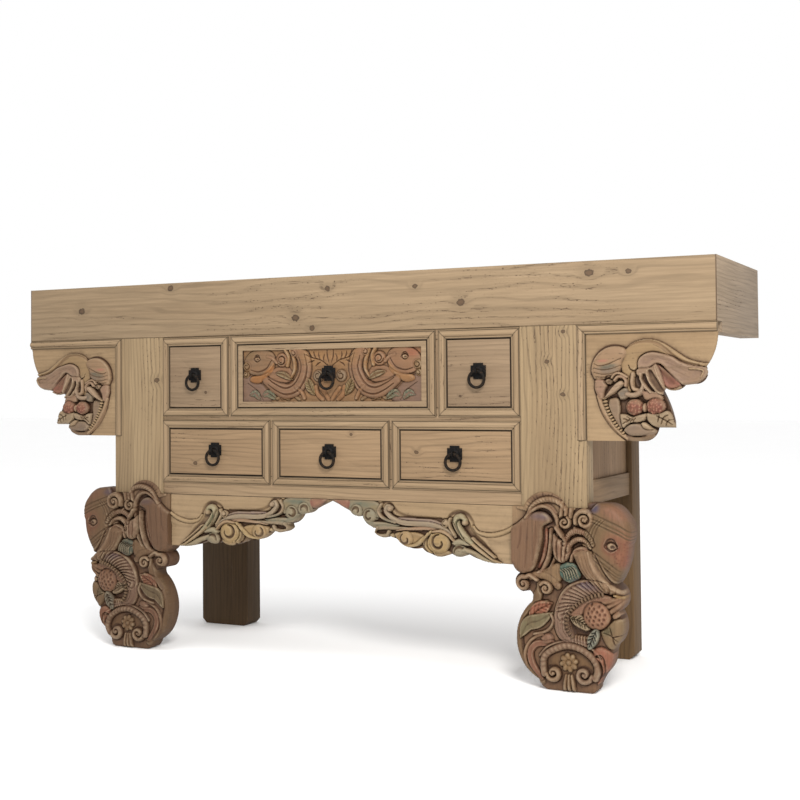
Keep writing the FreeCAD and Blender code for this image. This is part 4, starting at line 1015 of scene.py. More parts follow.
    # flame on the outer edge, and the shell at the foot
    c.pad([(602, 88), (620, 97), (640, 88), (652, 66), (648, 44), (630, 24), (610, 20), (622, 44), (619, 62),
           (604, 72)], 14, 10, 8, (0.48, 0.215, 0.155), 0.95, trench=2.0)
    c.cut([(612, 80), (622, 80), (628, 70), (628, 50), (620, 34)], 6, 3.4, (0.3, 1, 0.3), BRICK)
    c.cut([(608, 75), (615, 78), (622, 74)], 9, 5, (0.4, 1, 0.4), UMBER)
    c.cut([(640, 78), (642, 58), (632, 38)], 4, 1.8)
    c.bar([(492, 70), (508, 88), (534, 99), (560, 102), (592, 96), (616, 80), (625, 60)], 7, 12, 6, (0.33, 0.25, 0.195),
          0.8)
    c.sink([(508, 30), (502, 52), (512, 70), (534, 84), (556, 90), (584, 82), (604, 66), (606, 44), (596, 26),
            (552, 18)], 8, 6, (0.29, 0.20, 0.105), 0.9)
    band = [(499, 50), (502, 69), (521, 84), (551, 94), (582, 88), (605, 71), (613, 50)]
    c.volute(521, 37, 21, 190, 1.15, 17, 9, 11, (0.34, 0.235, 0.15), 0.9)
    c.volute(585, 38, 22, -10, -1.15, 17, 9, 11.5, (0.34, 0.25, 0.20), 0.9)
    c.bar([(501, 34)] + band + [(608, 32)], 15, 16, 9, (0.35, 0.255, 0.195), 0.9, (0.9, 1, 0.9), 1.8)
    c.ribs(band, 14, 9.5, 1.3, 0.15)
    c.rosette(553, 60, 19, 12.5, 8, (0.37, 0.27, 0.14), 0.9)
    for k in (-1, 0, 1):
        c.bar([(553 + 6 * k, 34), (553 + 8 * k, 22), (553 + 10 * k, 6)], 9, 13, 6, (0.34, 0.245, 0.15), 0.85,
              (0.7, 1, 0.9), 0.8)
    c.tooling(0.3, 7)
    c.deepen(1.4, 19.0)
    return c


HOOD_OUTLINE = trace([(458.0, LEG_H), ((505.0, 402.0), (552.0, LEG_H))])


# Wing brackets: an elephant's head with a wide ear, over two fruits and their leaves
def wing_carving():
    c = Carving(590, 866, 500, 746, 1.25, 0.0)
    c.sink([(638, 594), (664, 604), (708, 612), (746, 606), (764, 600), (770, 560), (778, 532), (742, 526), (716, 508),
            (690, 506), (664, 524), (646, 548), (636, 574)], -3.5, 6, (0.21, 0.135, 0.085), 0.9)
    # ear: crest, wide lobe, red lobe and petals
    c.bar([(683, 608), (683, 640), (686, 662), (692, 681), (708, 692), (732, 695), (752, 688), (772, 677), (798, 663),
           (824, 657), (852, 655)], 30, 6, 2, (0.41, 0.295, 0.15), 0.85,
          (0.4, 0.6, 1.15, 1.1, 0.95, 0.8, 0.7, 0.55, 0.4, 0.25, 0.2), 0.3)
    c.cut([(677, 689), (690, 698), (706, 703), (724, 704), (742, 700), (757, 690), (770, 678), (786, 667), (804, 660),
           (824, 656)], 7, 2.2, (0.5, 1, 1, 0.5), HAZEL, 0.85)
    c.cut([(734, 698), (750, 690), (764, 678), (782, 666)], 3.4, 1.4, (0.3, 1, 0.4), HAZEL, 0.85)
    c.pad([(704, 650), (704, 668), (716, 679), (732, 683), (750, 680), (772, 673), (790, 662), (812, 655), (838, 651),
           (841, 642), (830, 627), (812, 618), (789, 619), (766, 640), (745, 660), (722, 650)], 9.5, 6, 7,
          (0.335, 0.23, 0.17), 0.95, 2.2, dish=3)
    for dz in (0, 9):
        c.cut([(728, 670 - dz), (764, 660 - dz), (806, 640 - dz)], 3, 0.7)
    c.bar([(806, 649), (822, 648), (833, 644), (828, 632)], 3, 10, 2, CREAM, 0.3)
    c.pad([(741, 659), (752, 653), (770, 638), (788, 620), (784, 612), (772, 609), (760, 611), (751, 622),
           (741, 642)], 6, 6, 6, (0.32, 0.12, 0.09), 1.0, 1.4, dish=3)
    # painted shadow of the ear's pad along the red lobe's upper edge
    c.glow(758, 645, 30, 10, (0.13, 0.04, 0.03), 0.95, -42)
    c.bar([(787, 613), (776, 608.5), (764, 608.5), (754, 613)], 3.6, 8, 3, CREAM, 0.6)
    c.pad([(699, 648), (727, 653), (742, 657), (758, 608), (748, 600), (728, 602), (711, 612), (700, 624)], 7.5, 4, 5,
          (0.36, 0.25, 0.18), 0.9, 1.2)
    for loop, level, colour in (
            ([(722, 645), (730, 649), (740, 634), (753, 612), (757, 606), (747, 602), (736, 611), (726, 627)], 2.0,
             (0.20, 0.13, 0.08)),
            ([(711, 640), (719, 640), (725, 625), (738, 605), (729, 605), (717, 618), (709, 631)], -1.5,
             (0.085, 0.046, 0.028)),
            ([(697, 639), (704, 638), (709, 627), (709, 616), (702, 617), (696, 628)], -1.5, (0.07, 0.04, 0.026))):
        c.sink(loop, level, 3.0, colour, 1.0)
    for edge in ([(737, 653), (743, 634), (753, 616), (761, 607)],
                 [(722, 647), (721, 637), (728, 621), (741, 605), (750, 600)],
                 [(708, 641), (708, 630), (716, 615), (728, 603)]):
        c.bar(edge, 3.2, 9, 3, (0.54, 0.42, 0.30), 0.9, (0.8, 1, 1), 0.4)
    c.bar([(693, 640), (691, 624), (694, 611), (701, 608)], 8, 9.5, 5, (0.38, 0.255, 0.175), 0.7)
    c.cut([(687, 640), (685.5, 618), (691, 605), (702, 604), (708, 612)], 3.4, 3)
    c.cut([(684, 658), (687, 650), (694, 646.5), (700, 649), (703, 658)], 4.4, 4)
    # head with its eye, tusk and lips
    c.pad([(606, 646), (609, 664), (620, 681), (638, 693), (658, 696), (675, 692), (681, 680), (672, 664), (668, 648),
           (660, 636), (640, 632), (622, 628), (611, 633)], 10, 18, 8, (0.37, 0.255, 0.17), 0.5, 0.3)
    c.cut([(605, 640), (608, 664), (620, 683), (638, 695), (658, 698), (678, 692)], 6, 0.9, (0.5, 1, 1, 0.4),
          (0.22, 0.13, 0.07), 0.9)
    c.cut([(612, 646), (615, 664), (626, 679), (644, 687)], 2.6, 0.7)
    c.glow(644, 649, 32, 13, (0.19, 0.165, 0.14), 0.95)
    c.glow(633, 667, 16, 4.5, (0.50, 0.21, 0.16), 1.0)
    c.glow(644, 656, 27, 6, (0.10, 0.13, 0.11), 1.0, 10)
    for line in ([(613, 662), (625, 657), (645, 661), (670, 672)], [(612, 653), (630, 649), (650, 651), (669, 658)],
                 [(613, 644), (632, 640), (652, 642), (666, 647)], [(617, 635), (632, 634), (650, 636)]):
        c.cut(line, 3.2, 2.0, (0.4, 1, 0.4), (0.11, 0.085, 0.065))
    c.pad([(613, 627), (622, 631), (634, 628), (640, 618), (634, 604), (632, 592), (624, 589), (617, 600),
           (612, 612)], 7, 8, 7, (0.365, 0.23, 0.175), 0.75)
    c.eye(644, 626, 8.0, 8, UMBER, WALNUT)
    c.sink([(633, 603), (636, 614), (646, 620), (655, 617), (648, 606), (636, 594)], 2, 3, (0.12, 0.09, 0.07), 0.95)
    c.pad([(631, 590), (644, 596), (657, 603), (668, 612), (676, 621), (669, 627), (659, 622), (648, 611),
           (638, 598)], 13, 5, 8, (0.43, 0.315, 0.225), 0.95, 1.8)
    c.bar([(656, 628), (663, 635), (673, 634), (679, 626), (678, 617)], 7, 10, 5, (0.32, 0.195, 0.145), 0.75)
    c.bar([(650, 633), (657, 641), (668, 641), (681, 634)], 5, 9, 4, (0.35, 0.23, 0.165), 0.6)
    c.pad([(660, 602), (672, 612), (681, 612), (685, 600), (678, 591), (666, 590)], 8, 5, 6, (0.20, 0.185, 0.155), 0.95)
    c.bar([(680, 600), (692, 598), (703, 601), (710, 609), (713, 617)], 11, 9.5, 6, (0.35, 0.27, 0.21), 0.85,
          (0.9, 1, 1, 0.6))
    # fruits, leaves and the bowl under them
    c.pad([(706, 607), (722, 607), (746, 601), (751, 588), (738, 586), (714, 590)], 5, 6, 5, (0.37, 0.235, 0.17), 0.8)
    for x, z, rx, rz, lean in ((695, 574, 18, 17, 10), (737, 575, 19.5, 17, 25)):
        c.ball(x, z, rx, rz, 11, 0, (0.17, 0.035, 0.028), 1.0, 0, 1.8)
        # lighter upper part of each fruit: painted highlight
        c.glow(x + 2, z + 11, rx, 8, (0.30, 0.14, 0.10), 0.7)
        c.pits(x, z, rz, 6.2, 1.6, -1.5, lean, (0.40, 0.10, 0.075), 0.25)
    c.ball(715, 573, 5, 9, 8, 0, CLAY, 0.8)
    c.pad([(666, 561), (667, 542), (672, 533), (686, 543), (702, 544), (716, 549), (719, 561), (704, 559), (690, 555),
           (677, 560)], 8, 5, 5, (0.36, 0.295, 0.20), 0.9)
    for a, b in (((671, 541), (694, 555)), ((673, 551), (681, 549)), ((680, 555), (686, 551)), ((679, 544), (686, 549)),
                 ((686, 545), (693, 551)), ((692, 546), (698, 553))):
        c.cut([a, ((a[0] + b[0]) / 2, (a[1] + b[1]) / 2 + 0.6), b], 3.4, 2.6, (0.6, 1, 0.5), UMBER)
    c.pad([(719, 562), (738, 561), (748, 563), (760, 567), (768, 560), (772, 547), (778, 532), (760, 534), (742, 534),
           (728, 540), (720, 550)], 8, 5, 5, (0.36, 0.305, 0.205), 0.9)
    for a, b in (((740, 557), (771, 540)), ((745, 559), (742, 545)), ((751, 552), (763, 559)), ((752, 551), (749, 541)),
                 ((760, 546), (770, 550)), ((761, 546), (758, 537))):
        c.cut([a, ((a[0] + b[0]) / 2, (a[1] + b[1]) / 2 + 0.8), b], 3.8, 2.8, (0.6, 1, 0.5), (0.05, 0.05, 0.03))
    c.pad([(672, 527), (680, 538), (694, 542), (708, 541), (718, 534), (732, 533), (738, 527), (730, 519), (700, 517),
           (682, 518)], 8, 9, 7, SLATE, 0.9)
    c.pad([(708, 542), (716, 544), (727, 537), (733, 531), (722, 530), (712, 534)], 10, 4, 5, CREAM, 0.9)
    c.bar([(672, 517), (690, 511), (708, 511), (730, 518)], 11, 4, 5, (0.17, 0.115, 0.075), 0.9)
    # trunk down the inner edge
    c.bar([(620, 596), (629, 571), (641, 550), (659, 528), (678, 513)], 13, 5, 5, (0.375, 0.255, 0.165), 0.4,
          (0.7, 1, 1, 0.7), 0.6)
    c.cut([(611, 614), (616, 594), (624, 570), (637, 548), (655, 526), (676, 508)], 6, 1.0, (0.5, 1, 0.7),
          (0.26, 0.17, 0.10), 0.85)
    c.pad([(642, 590), (660, 592), (664, 575), (664, 556), (668, 538), (666, 527), (654, 542), (645, 561),
           (640, 578)], 3, 5, 4, (0.28, 0.215, 0.16), 0.85)
    c.cut([(635, 590), (639, 572), (648, 553), (660, 535), (672, 522)], 9, 3, (0.7, 1, 0.7), UMBER)
    c.tooling(0.16, 11)
    c.deepen(1.3, 0.0)
    return c


# Aprons: leaf scrolls along the lower edge
def apron_carving():
    c = Carving(-2, 438, 244, 376, 1.25, 0.0)
    c.sink([(44, 374), (110, 376), (128, 360), (150, 356), (170, 342), (270, 341), (292, 344), (312, 350), (334, 338),
            (346, 316), (372, 292), (400, 262), (398, 246), (330, 250), (220, 256), (120, 290), (40, 340)], -3, 6,
           (0.335, 0.225, 0.155), 0.75)
    c.sink([(366, 304), (400, 300), (440, 304), (440, 246), (404, 246), (376, 272)], -1.5, 8)
    # soft grooves round the scrolls, tan with painted shade in them, and the roll that runs to the leg
    c.cut([(118, 344), (120, 358), (133, 368), (148, 367), (158, 356), (170, 346), (200, 339), (268, 338)], 9, 2.0,
          (0.6, 1, 1, 0.8), GROOVE_SHADE_TAN, 0.85)
    c.cut([(284, 330), (289, 344), (301, 352), (316, 354), (330, 349), (340, 336), (345, 323), (354, 314)], 10, 2.2,
          (0.7, 1, 1, 0.7), GROOVE_SHADE_TAN, 0.85)
    c.bar([(344, 324), (352, 314), (366, 309), (384, 308), (404, 312), (422, 319), (437, 329)], 9, 2.6, 3, PINE, 0.3,
          (0.5, 1, 1, 0.8), 1.4)
    c.bar([(168, 335), (210, 332), (250, 331), (274, 325)], 9, 2.5, 3, (0.23, 0.165, 0.19), 0.95, (0.4, 1, 1, 0.5), 0.6)
    # red tip, teal head with two curls, and its tails
    c.pad([(4, 371), (46, 372), (52, 362), (44, 350), (28, 356)], 3, 5, 4, (0.30, 0.12, 0.10), 1.0)
    c.pad([(48, 371), (84, 372), (118, 368), (127, 350), (120, 333), (98, 321), (80, 334), (56, 338), (45, 352)], 2.5,
          7, 4, (0.235, 0.22, 0.17), 0.95)
    c.glow(84, 363, 30, 9, (0.10, 0.155, 0.14), 1.0)
    c.glow(112, 356, 14, 9, OLIVE, 0.7)
    c.scroll(67, 347, 15, 200, -0.62, 6.5, 6, (0.28, 0.27, 0.215), 0.95, 0.56)
    c.scroll(99, 338, 16, 80, 0.66, 6.5, 6, (0.27, 0.26, 0.205), 0.95, 0.54)
    c.bar([(82, 332), (99, 322), (130, 320), (168, 320)], 12, 5, 5, (0.20, 0.21, 0.175), 0.95, (0.8, 1, 1, 0.4), 1.0,
          1.2)
    c.cut([(116, 334), (140, 331), (168, 323)], 11, 2.6, (0.3, 1, 1), TEAL, 1.0)
    c.bar([(108, 311), (130, 314), (166, 314), (192, 316)], 10, 4.5, 5, (0.26, 0.215, 0.175), 0.9, (1, 1, 0.8, 0.3),
          1.0)
    c.bar([(118, 313), (110, 306), (113, 298), (126, 296), (141, 298), (146, 306)], 8, 5, 5, (0.25, 0.205, 0.165), 0.9)
    c.ball(153, 297, 6, 5, 4, -2, CREAM, 0.7)
    # pale stem that rolls up at its end
    c.bar([(302, 301), (284, 313), (262, 321), (236, 325), (205, 325), (176, 327), (156, 334), (145, 343), (139, 352),
           (143, 360), (151, 357)], 12, 6, 6, (0.35, 0.285, 0.235), 0.95, (0.5, 0.9, 1, 1, 1, 0.9, 0.9, 0.8), 1.6,
          1.2)
    c.ball(149, 355, 6, 6, 8, 0, (0.42, 0.31, 0.25), 0.85)
    c.bar([(128, 364), (121, 350), (127, 338), (140, 331), (162, 326)], 6, 5, 4, (0.31, 0.23, 0.18), 0.85)
    c.bar([(164, 309), (200, 314), (240, 316), (276, 309), (298, 297)], 9, 3.5, 4, (0.37, 0.22, 0.16), 0.95,
          (0.4, 1, 1, 0.5))
    c.glow(144, 329, 27, 6, TEAL, 1.0, -14)
    # yellow scrolls
    c.pad([(158, 300), (176, 307), (206, 307), (228, 301), (230, 288), (206, 276), (186, 273), (168, 281)], 3, 6, 5,
          (0.38, 0.245, 0.12), 0.95)
    c.scroll(186, 291, 18, 115, 0.75, 7, 6.5, (0.43, 0.285, 0.15), 0.95, 0.44)
    c.bar([(190, 276), (212, 281), (228, 293), (247, 310)], 10, 6.5, 6, (0.44, 0.31, 0.15), 0.95, (0.5, 1, 0.6), 1.6,
          0.8)
    for dx, width in ((0, 10), (10, 6)):
        c.bar([(239 + dx, 305), (232 + dx, 290), (234 + dx, 277), (245 + dx, 266)], width, 6, 5, (0.40, 0.27, 0.12),
              0.95, (0.6, 1, 0.7), 1.6)
    c.cut([(241, 300), (231, 287), (232, 276), (239, 268)], 7, 4.0, (0.4, 1, 0.5), UMBER, 1.0)
    c.ball(270, 265, 20, 10, 4, -2, (0.36, 0.25, 0.14), 0.9)
    c.scroll(266, 288, 24, 85, 0.8, 8.5, 7.5, (0.44, 0.30, 0.145), 0.95, 0.36)
    c.bar([(300, 293), (288, 305), (272, 312), (252, 310)], 8, 8, 6, (0.36, 0.225, 0.14), 0.85, (0.6, 1, 0.6))
    # grey-green ball and the curl above it
    c.pad([(294, 287), (310, 297), (330, 295), (336, 284), (318, 284), (304, 281)], 5, 5, 5, (0.32, 0.305, 0.235), 0.95)
    c.ball(313, 271, 18, 14, 7.5, -2, (0.25, 0.23, 0.18), 0.95, 0, 1.6)
    c.cut([(301, 268), (304, 276), (312, 280), (324, 277)], 7.5, 4, (0.4, 1, 0.5), UMBER, 1.0)
    c.bar([(342, 290), (326, 301), (314, 315), (306, 330), (308, 341), (318, 344), (326, 337)], 16, 8, 7,
          (0.33, 0.325, 0.225), 0.95, (0.5, 1, 1, 0.9, 0.6), 1.6)
    c.cut([(330, 293), (318, 307), (310, 321), (308, 331), (313, 338), (320, 338)], 6.0, 4.4, (0.4, 1, 1, 0.4),
          (0.04, 0.07, 0.04), 1.0)
    c.cut([(318, 297), (306, 321), (300, 338)], 5.0, 3.0, (0.4, 1, 0.5), UMBER, 1.0)
    c.ball(325, 332, 6.5, 6.5, 7, 0, (0.38, 0.275, 0.20), 0.75)
    c.bar([(301, 305), (293, 317), (288, 328), (291, 338)], 7, 5, 5, (0.34, 0.25, 0.175), 0.85)
    c.scroll(280, 328, 9, 95, 0.6, 5.5, 5, (0.35, 0.26, 0.19), 0.85, 0.36)
    # strands that run to the leg
    c.bar([(324, 275), (346, 268), (370, 257), (398, 249)], 12, 5, 5, (0.30, 0.27, 0.20), 0.9, (0.8, 1, 0.4))
    c.bar([(328, 298), (354, 279), (386, 258), (406, 250)], 8, 6, 5, (0.38, 0.275, 0.175), 0.7, (1, 1, 0.4))
    c.bar([(342, 300), (363, 283), (392, 262)], 5, 5, 4, (0.35, 0.24, 0.16), 0.8)
    c.tooling(0.16, 13)
    c.deepen(1.45, 0.0)
    return c


# Picture on the middle upper drawer: two elephants face to face among leaves
def picture_carving(field):
    x0, x1, z0, z1 = field
    c = Carving(x0, x1, z0, z1, 1.2, -4.2, (0.42, 0.31, 0.20), 0.9)
    skin, bark = (0.38, 0.27, 0.21), (0.35, 0.25, 0.20)
    for m in (1, -1):
        def at(*points):
            """The points, on the left for the left elephant."""
            return [(m * x, z) for x, z in points]

        # ground below the head
        c.pad(at((150, 594), (170, 620), (196, 640), (230, 648), (230, 584), (158, 584)), -2.4, 8, 4,
              (0.26, 0.215, 0.225), 0.95)
        c.cut(at((174, 590), (190, 612), (216, 630)), 4, 2)
        c.leaf(at((140, 593), (160, 606), (176, 600)), 18, -1, 4, (0.14, 0.26, 0.24), 0.95, 7)
        c.leaf(at((182, 592), (195, 606), (210, 602)), 16, -0.6, 4, (0.13, 0.25, 0.25), 0.95, 7)
        c.bar(at((80, 592), (96, 602), (110, 596), (124, 604), (138, 594)), 9, -2.5, 4, (0.28, 0.235, 0.16), 0.85)
        c.leaf(at((104, 590), (116, 598), (128, 592)), 9, -1.5, 3, CREAM, 0.6, 30)
        # head with its tusk, eye and ear
        c.pad(at((140, 682), (152, 673), (176, 653), (206, 645), (209, 634), (188, 629), (166, 640), (147, 658)), 0,
              7, 6, (0.43, 0.28, 0.155) if m > 0 else (0.44, 0.235, 0.09), 0.95, 1.6)
        c.ball(m * 184, 678, 42, 30, 0.6, -4, skin if m > 0 else (0.33, 0.265, 0.205), 0.9, -m * 10, 2.2)
        c.glow(m * 206, 694, 24, 14, (0.44, 0.19, 0.15) if m > 0 else (0.30, 0.26, 0.18), 0.9)
        c.cut(at((150, 684), (164, 664), (186, 656), (206, 660)), 5, 2.2, (0.4, 1, 0.4), SEPIA, 1.0)
        c.eye(m * 188, 685, 6.5, 1.5, BRICK)
        c.scroll(m * 217, 668, 11, 90, m * 1.1, 1, 5, OLIVE, 0.8)
        c.scroll(m * 220, 650, 8, 90, m, 0.5, 5, OLIVE, 0.8)
        # trunk curled round a leaf
        c.pad(at((94, 650), (104, 632), (134, 628), (162, 640), (150, 660), (128, 668), (104, 664)), -2.5, 7, 4, skin,
              0.9)
        c.bar(at((92, 632), (112, 624), (142, 627)), 10, -1.5, 4, (0.26, 0.15, 0.10), 0.85)
        c.leaf(at((98, 637), (118, 648), (140, 653)), 14, 0.5, 4, (0.26, 0.26, 0.175), 0.95, 30, 2.0)
        c.bar(at((166, 635), (142, 620), (112, 611), (87, 619), (71, 640), (64, 665), (71, 690), (90, 706)), 34, 1.5,
              7, bark, 0.9, (0.6, 1, 1, 1, 0.9), 1.6)
        c.cut(at((160, 627), (138, 613), (112, 604), (83, 612), (64, 636), (57, 665), (64, 695)), 5.4, 2.8,
              (0.4, 1, 1, 0.5), SEPIA, 1.0)
        c.cut(at((160, 639), (140, 627), (114, 618), (92, 626), (78, 645), (72, 666), (78, 688)), 5.4, 2.8,
              (0.4, 1, 1, 0.5), SEPIA, 1.0)
        c.bar(at((101, 703), (92, 682), (90, 660), (99, 643)), 9, 1, 5, (0.40, 0.275, 0.15), 0.9, (0.8, 1, 0.6))
        c.bar(at((115, 705), (107, 688), (110, 669)), 9, 0.5, 5, (0.42, 0.295, 0.16), 0.9)
        c.scroll(m * 91, 697, 9, 90, -m, 2, 5, skin, 0.8, 0.32)
        c.scroll(m * 124, 682, 16, 90 - m * 90, -m * 1.3, 1.5, 6, (0.35, 0.215, 0.145), 0.9, 0.24)
        c.bar(at((138, 676), (150, 686), (162, 690)), 8, -0.5, 4, skin, 0.85)
        # twigs above and leaves below the pull
        c.glow(m * 40, 690, 50, 30, (0.45, 0.32, 0.18), 0.9)
        c.cut(at((6, 668), (24, 680), (46, 686), (60, 693)), 3.6, 2.4, (0.5, 1, 0.5), TWIG, 0.95)
        for a, b in (((16, 676), (14, 694)), ((26, 681), (29, 699)), ((36, 684), (42, 700)), ((46, 686), (55, 702)),
                     ((24, 676), (37, 667)), ((40, 680), (54, 674)), ((3, 674), (8, 704))):
            c.cut(at(a, ((a[0] + b[0]) / 2 + 2, (a[1] + b[1]) / 2), b), 5.0, 2.4, (0.3, 1, 0.3), TWIG, 0.95)
        c.scroll(m * 29, 645, 13, 90, m * 1.1, 1, 5, (0.26, 0.235, 0.20), 0.95, 0.28)
        c.leaf(at((40, 603), (50, 620), (59, 641)), 21, 0, 4, (0.24, 0.235, 0.13), 0.9, 7, 2.0)
        c.bar(at((66, 595), (74, 610), (86, 620)), 9, -1, 4, (0.37, 0.235, 0.14), 0.85)
        c.bar(at((20, 592), (32, 604), (36, 620)), 11, -1.5, 4, (0.40, 0.25, 0.14), 0.85)
        c.bar(at((4, 591), (12, 604), (24, 618)), 10, -2, 4, (0.41, 0.255, 0.14), 0.85)
    c.tooling(0.18, 17)
    c.deepen(1.25, 1.0)
    return c


# Sawn boards: copies of the solids with their sharp edges rubbed down
def eased(node, finish, width, body, slot, edge=None):
    """A node's copy with rubbed edges; edge names another finish for all but its front faces."""
    shape = bmesh.new()
    shape.from_mesh(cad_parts[node].data)
    bmesh.ops.remove_doubles(shape, verts=shape.verts, dist=2e-6)
    bmesh.ops.dissolve_limit(shape, angle_limit=FLAT_ANGLE, verts=shape.verts, edges=shape.edges)
    sharp = [e for e in shape.edges if len(e.link_faces) == 2 and e.calc_face_angle() > EASED_ANGLE]
    bmesh.ops.bevel(shape, geom=sharp, offset=width * MM, segments=2, profile=0.5, affect="EDGES", clamp_overlap=True)
    mesh = bpy.data.meshes.new(node + "_eased")
    shape.to_mesh(mesh)
    shape.free()
    mesh.polygons.foreach_set("use_smooth", [True] * len(mesh.polygons))
    mesh.set_sharp_from_angle(angle=BOARD_CREASE)
    mesh.materials.clear()
    mesh.materials.append(FINISH[finish])
    if edge:
        mesh.materials.append(FINISH[edge])
        mesh.polygons.foreach_set("material_index", [0 if p.normal.y < -0.97 else 1 for p in mesh.polygons])
    obj = bpy.data.objects.new(node + "_eased", mesh)
    bpy.context.scene.collection.objects.link(obj)
    settle(obj, body, slot, node)
    return obj


def corner_line(obj):
    """Darkens a board's rubbed front corners, where it meets the board beside it."""
    obj.data.materials.append(FINISH["arris"])
    for face in obj.data.polygons:
        if face.normal.y < -0.2 and abs(face.normal.x) > 0.2:
            face.material_index = 1


# Bead moulding: width from the opening's edge outwards, and height above the front plane
BEAD = ((0, -3), (0, 0.3), (0.5, 0.9), (3.3, 1.0), (4.0, 0.7), (4.5, -0.2), (5.0, 0.6), (5.8, 1.9), (7.2, 3.1),
        (9.0, 3.8), (11.0, 4.0), (13.0, 3.7), (14.8, 2.9), (16.2, 1.7), (17.0, 0.5), (17.5, -0.6), (18.1, 0.0),
        (18.8, 0.3), (19.5, 0.2), (19.5, -3))
# How dark each point of the bead's profile is: stain and dark joints at its edges, and painted shade in its grooves
BEAD_STAIN_AND_SHADE = (1.0, 1.0, 0.85, 0.1, 0.3, 0.7, 0.5, 0.2, 0.0, 0.0, 0.0, 0.0, 0.0, 0.2, 0.7, 1.0, 0.6, 0.2, 0.5, 0.8)
MITRE_GAP = 0.3
MITRE_STAIN = 1.3


def bead_strips(name, runs, body, nodes):
    """Mitred strips; a run is (inner a, inner b, outer a, outer b) in the front plane, mitre gap at its closed ends."""
    verts, polys, level, stain_and_shade = [], [], [], []
    for inner_a, inner_b, outer_a, outer_b in runs:
        ia, ib, oa, ob = (np.array(p, float) for p in (inner_a, inner_b, outer_a, outer_b))
        along = (ib - ia) / np.linalg.norm(ib - ia)
        base = len(verts)
        for start, end, way, inset in ((ia, oa, 1, 0.0), (ia, oa, 1, MITRE_STAIN), (ib, ob, -1, MITRE_STAIN),
                                       (ib, ob, -1, 0.0)):
            # each profile point's darkness: stain, dark joints, and painted shade in the grooves
            for (w, y), stain in zip(BEAD, BEAD_STAIN_AND_SHADE):
                p = start + (end - start) * w / MOULD_W + along * way * (MITRE_GAP + inset)
                verts.append([p[0] * MM, (FRONT - y) * MM, p[1] * MM])
                stain_and_shade.append(stain if inset else 1.0)
        n = len(BEAD)
        flip = np.cross(np.append(along, 0), np.append(oa - ia, 0))[2] < 0
        group = [[base + s + k, base + s + n + k, base + s + n + (k + 1) % n, base + s + (k + 1) % n]
                 for s in (0, n, 2 * n) for k in range(n)]
        group += [[base + k for k in range(n)], [base + 3 * n + k for k in reversed(range(n))]]
        polys += [g[::-1] for g in group] if flip else group
        level += [0 if abs(along[0]) > 0.5 else 1] * len(group)
    obj = new_piece(name, verts, polys, "bead_x")
    obj.data.materials.append(FINISH["bead_z"])
    obj.data.polygons.foreach_set("material_index", level)
    obj.data.attributes.new("hollow", "FLOAT", "POINT").data.foreach_set("value", stain_and_shade)
    shape = bmesh.new()
    shape.from_mesh(obj.data)
    bmesh.ops.recalc_face_normals(shape, faces=shape.faces)
    shape.to_mesh(obj.data)
    shape.free()
    obj.data.set_sharp_from_angle(angle=BEAD_CREASE)
    settle(obj, body, "pine_frame", *nodes)
    return obj


def frame_runs(span):
    """The four strips round a drawer's opening."""
    x0, x1, z0, z1 = span
    inner = [(x0, z0), (x1, z0), (x1, z1), (x0, z1)]
    w = MOULD_W
    outer = [(x0 - w, z0 - w), (x1 + w, z0 - w), (x1 + w, z1 + w), (x0 - w, z1 + w)]
    return [(inner[k], inner[(k + 1) % 4], outer[k], outer[(k + 1) % 4]) for k in range(4)]


def wing_runs(side):
    """The strips beside and above a wing."""
    under = FASCIA_Z - MOULD_W
    corner, mitre = (side * POST_OUT, under), (side * (POST_OUT - MOULD_W), FASCIA_Z)
    end = side * (POST_OUT + OVERHANG)
    return [((side * POST_OUT, WING_Z), corner, (side * (POST_OUT - MOULD_W), WING_Z), mitre),
            (corner, (end, under), mitre, (end, FASCIA_Z))]


# Geometry Nodes
class Tree:
    """A Geometry Nodes tree with named inputs."""

    def __init__(self, name, **inputs):
        self.group = bpy.data.node_groups.new(name, "GeometryNodeTree")
        self.group.interface.new_socket("Geometry", in_out="OUTPUT", socket_type="NodeSocketGeometry")
        self.group.interface.new_socket("Path", in_out="INPUT", socket_type="NodeSocketGeometry")
        self.keys = {}
        for key, value in inputs.items():
            kind = {int: "NodeSocketInt", float: "NodeSocketFloat"}.get(type(value), "NodeSocketMaterial")
            socket = self.group.interface.new_socket(key, in_out="INPUT", socket_type=kind)
            if kind != "NodeSocketMaterial":
                socket.default_value = value
            self.keys[key] = socket.identifier
        self.given = self.group.nodes.new("NodeGroupInput")
        self.result = self.group.nodes.new("NodeGroupOutput")

    def add(self, kind, settings=None, sockets=None):
        node = self.group.nodes.new(kind)
        for key, value in (settings or {}).items():
            setattr(node, key, value)
        for key, value in (sockets or {}).items():
            if hasattr(value, "is_output"):
                self.group.links.new(value, node.inputs[key])
            else:
                node.inputs[key].default_value = value
        return node

    def given_as(self, key):
        return self.given.outputs[key]

    def end(self, shape, material):
        real = self.add("GeometryNodeRealizeInstances", None, {0: shape})
        soft = self.add("GeometryNodeSetShadeSmooth", None, {0: real.outputs[0]})
        coat = self.add("GeometryNodeSetMaterial", None, {"Geometry": soft.outputs[0], "Material": material})
        self.group.links.new(coat.outputs[0], self.result.inputs[0])
        return self

    def grow(self, name, verts, edges, **values):
        """The tree's result on a path, as a plain mesh."""
        mesh = bpy.data.meshes.new(name)
        mesh.from_pydata(verts, edges, [])
        obj = bpy.data.objects.new(name, mesh)
        bpy.context.scene.collection.objects.link(obj)
        modifier = obj.modifiers.new("grow", "NODES")
        modifier.node_group = self.group
        for key, value in values.items():
            modifier[self.keys[key]] = value
        plain = bpy.data.meshes.new_from_object(obj.evaluated_get(bpy.context.evaluated_depsgraph_get()))
        obj.modifiers.remove(modifier)
        obj.data = plain
        bpy.data.meshes.remove(mesh)
        plain.name = name
        return obj


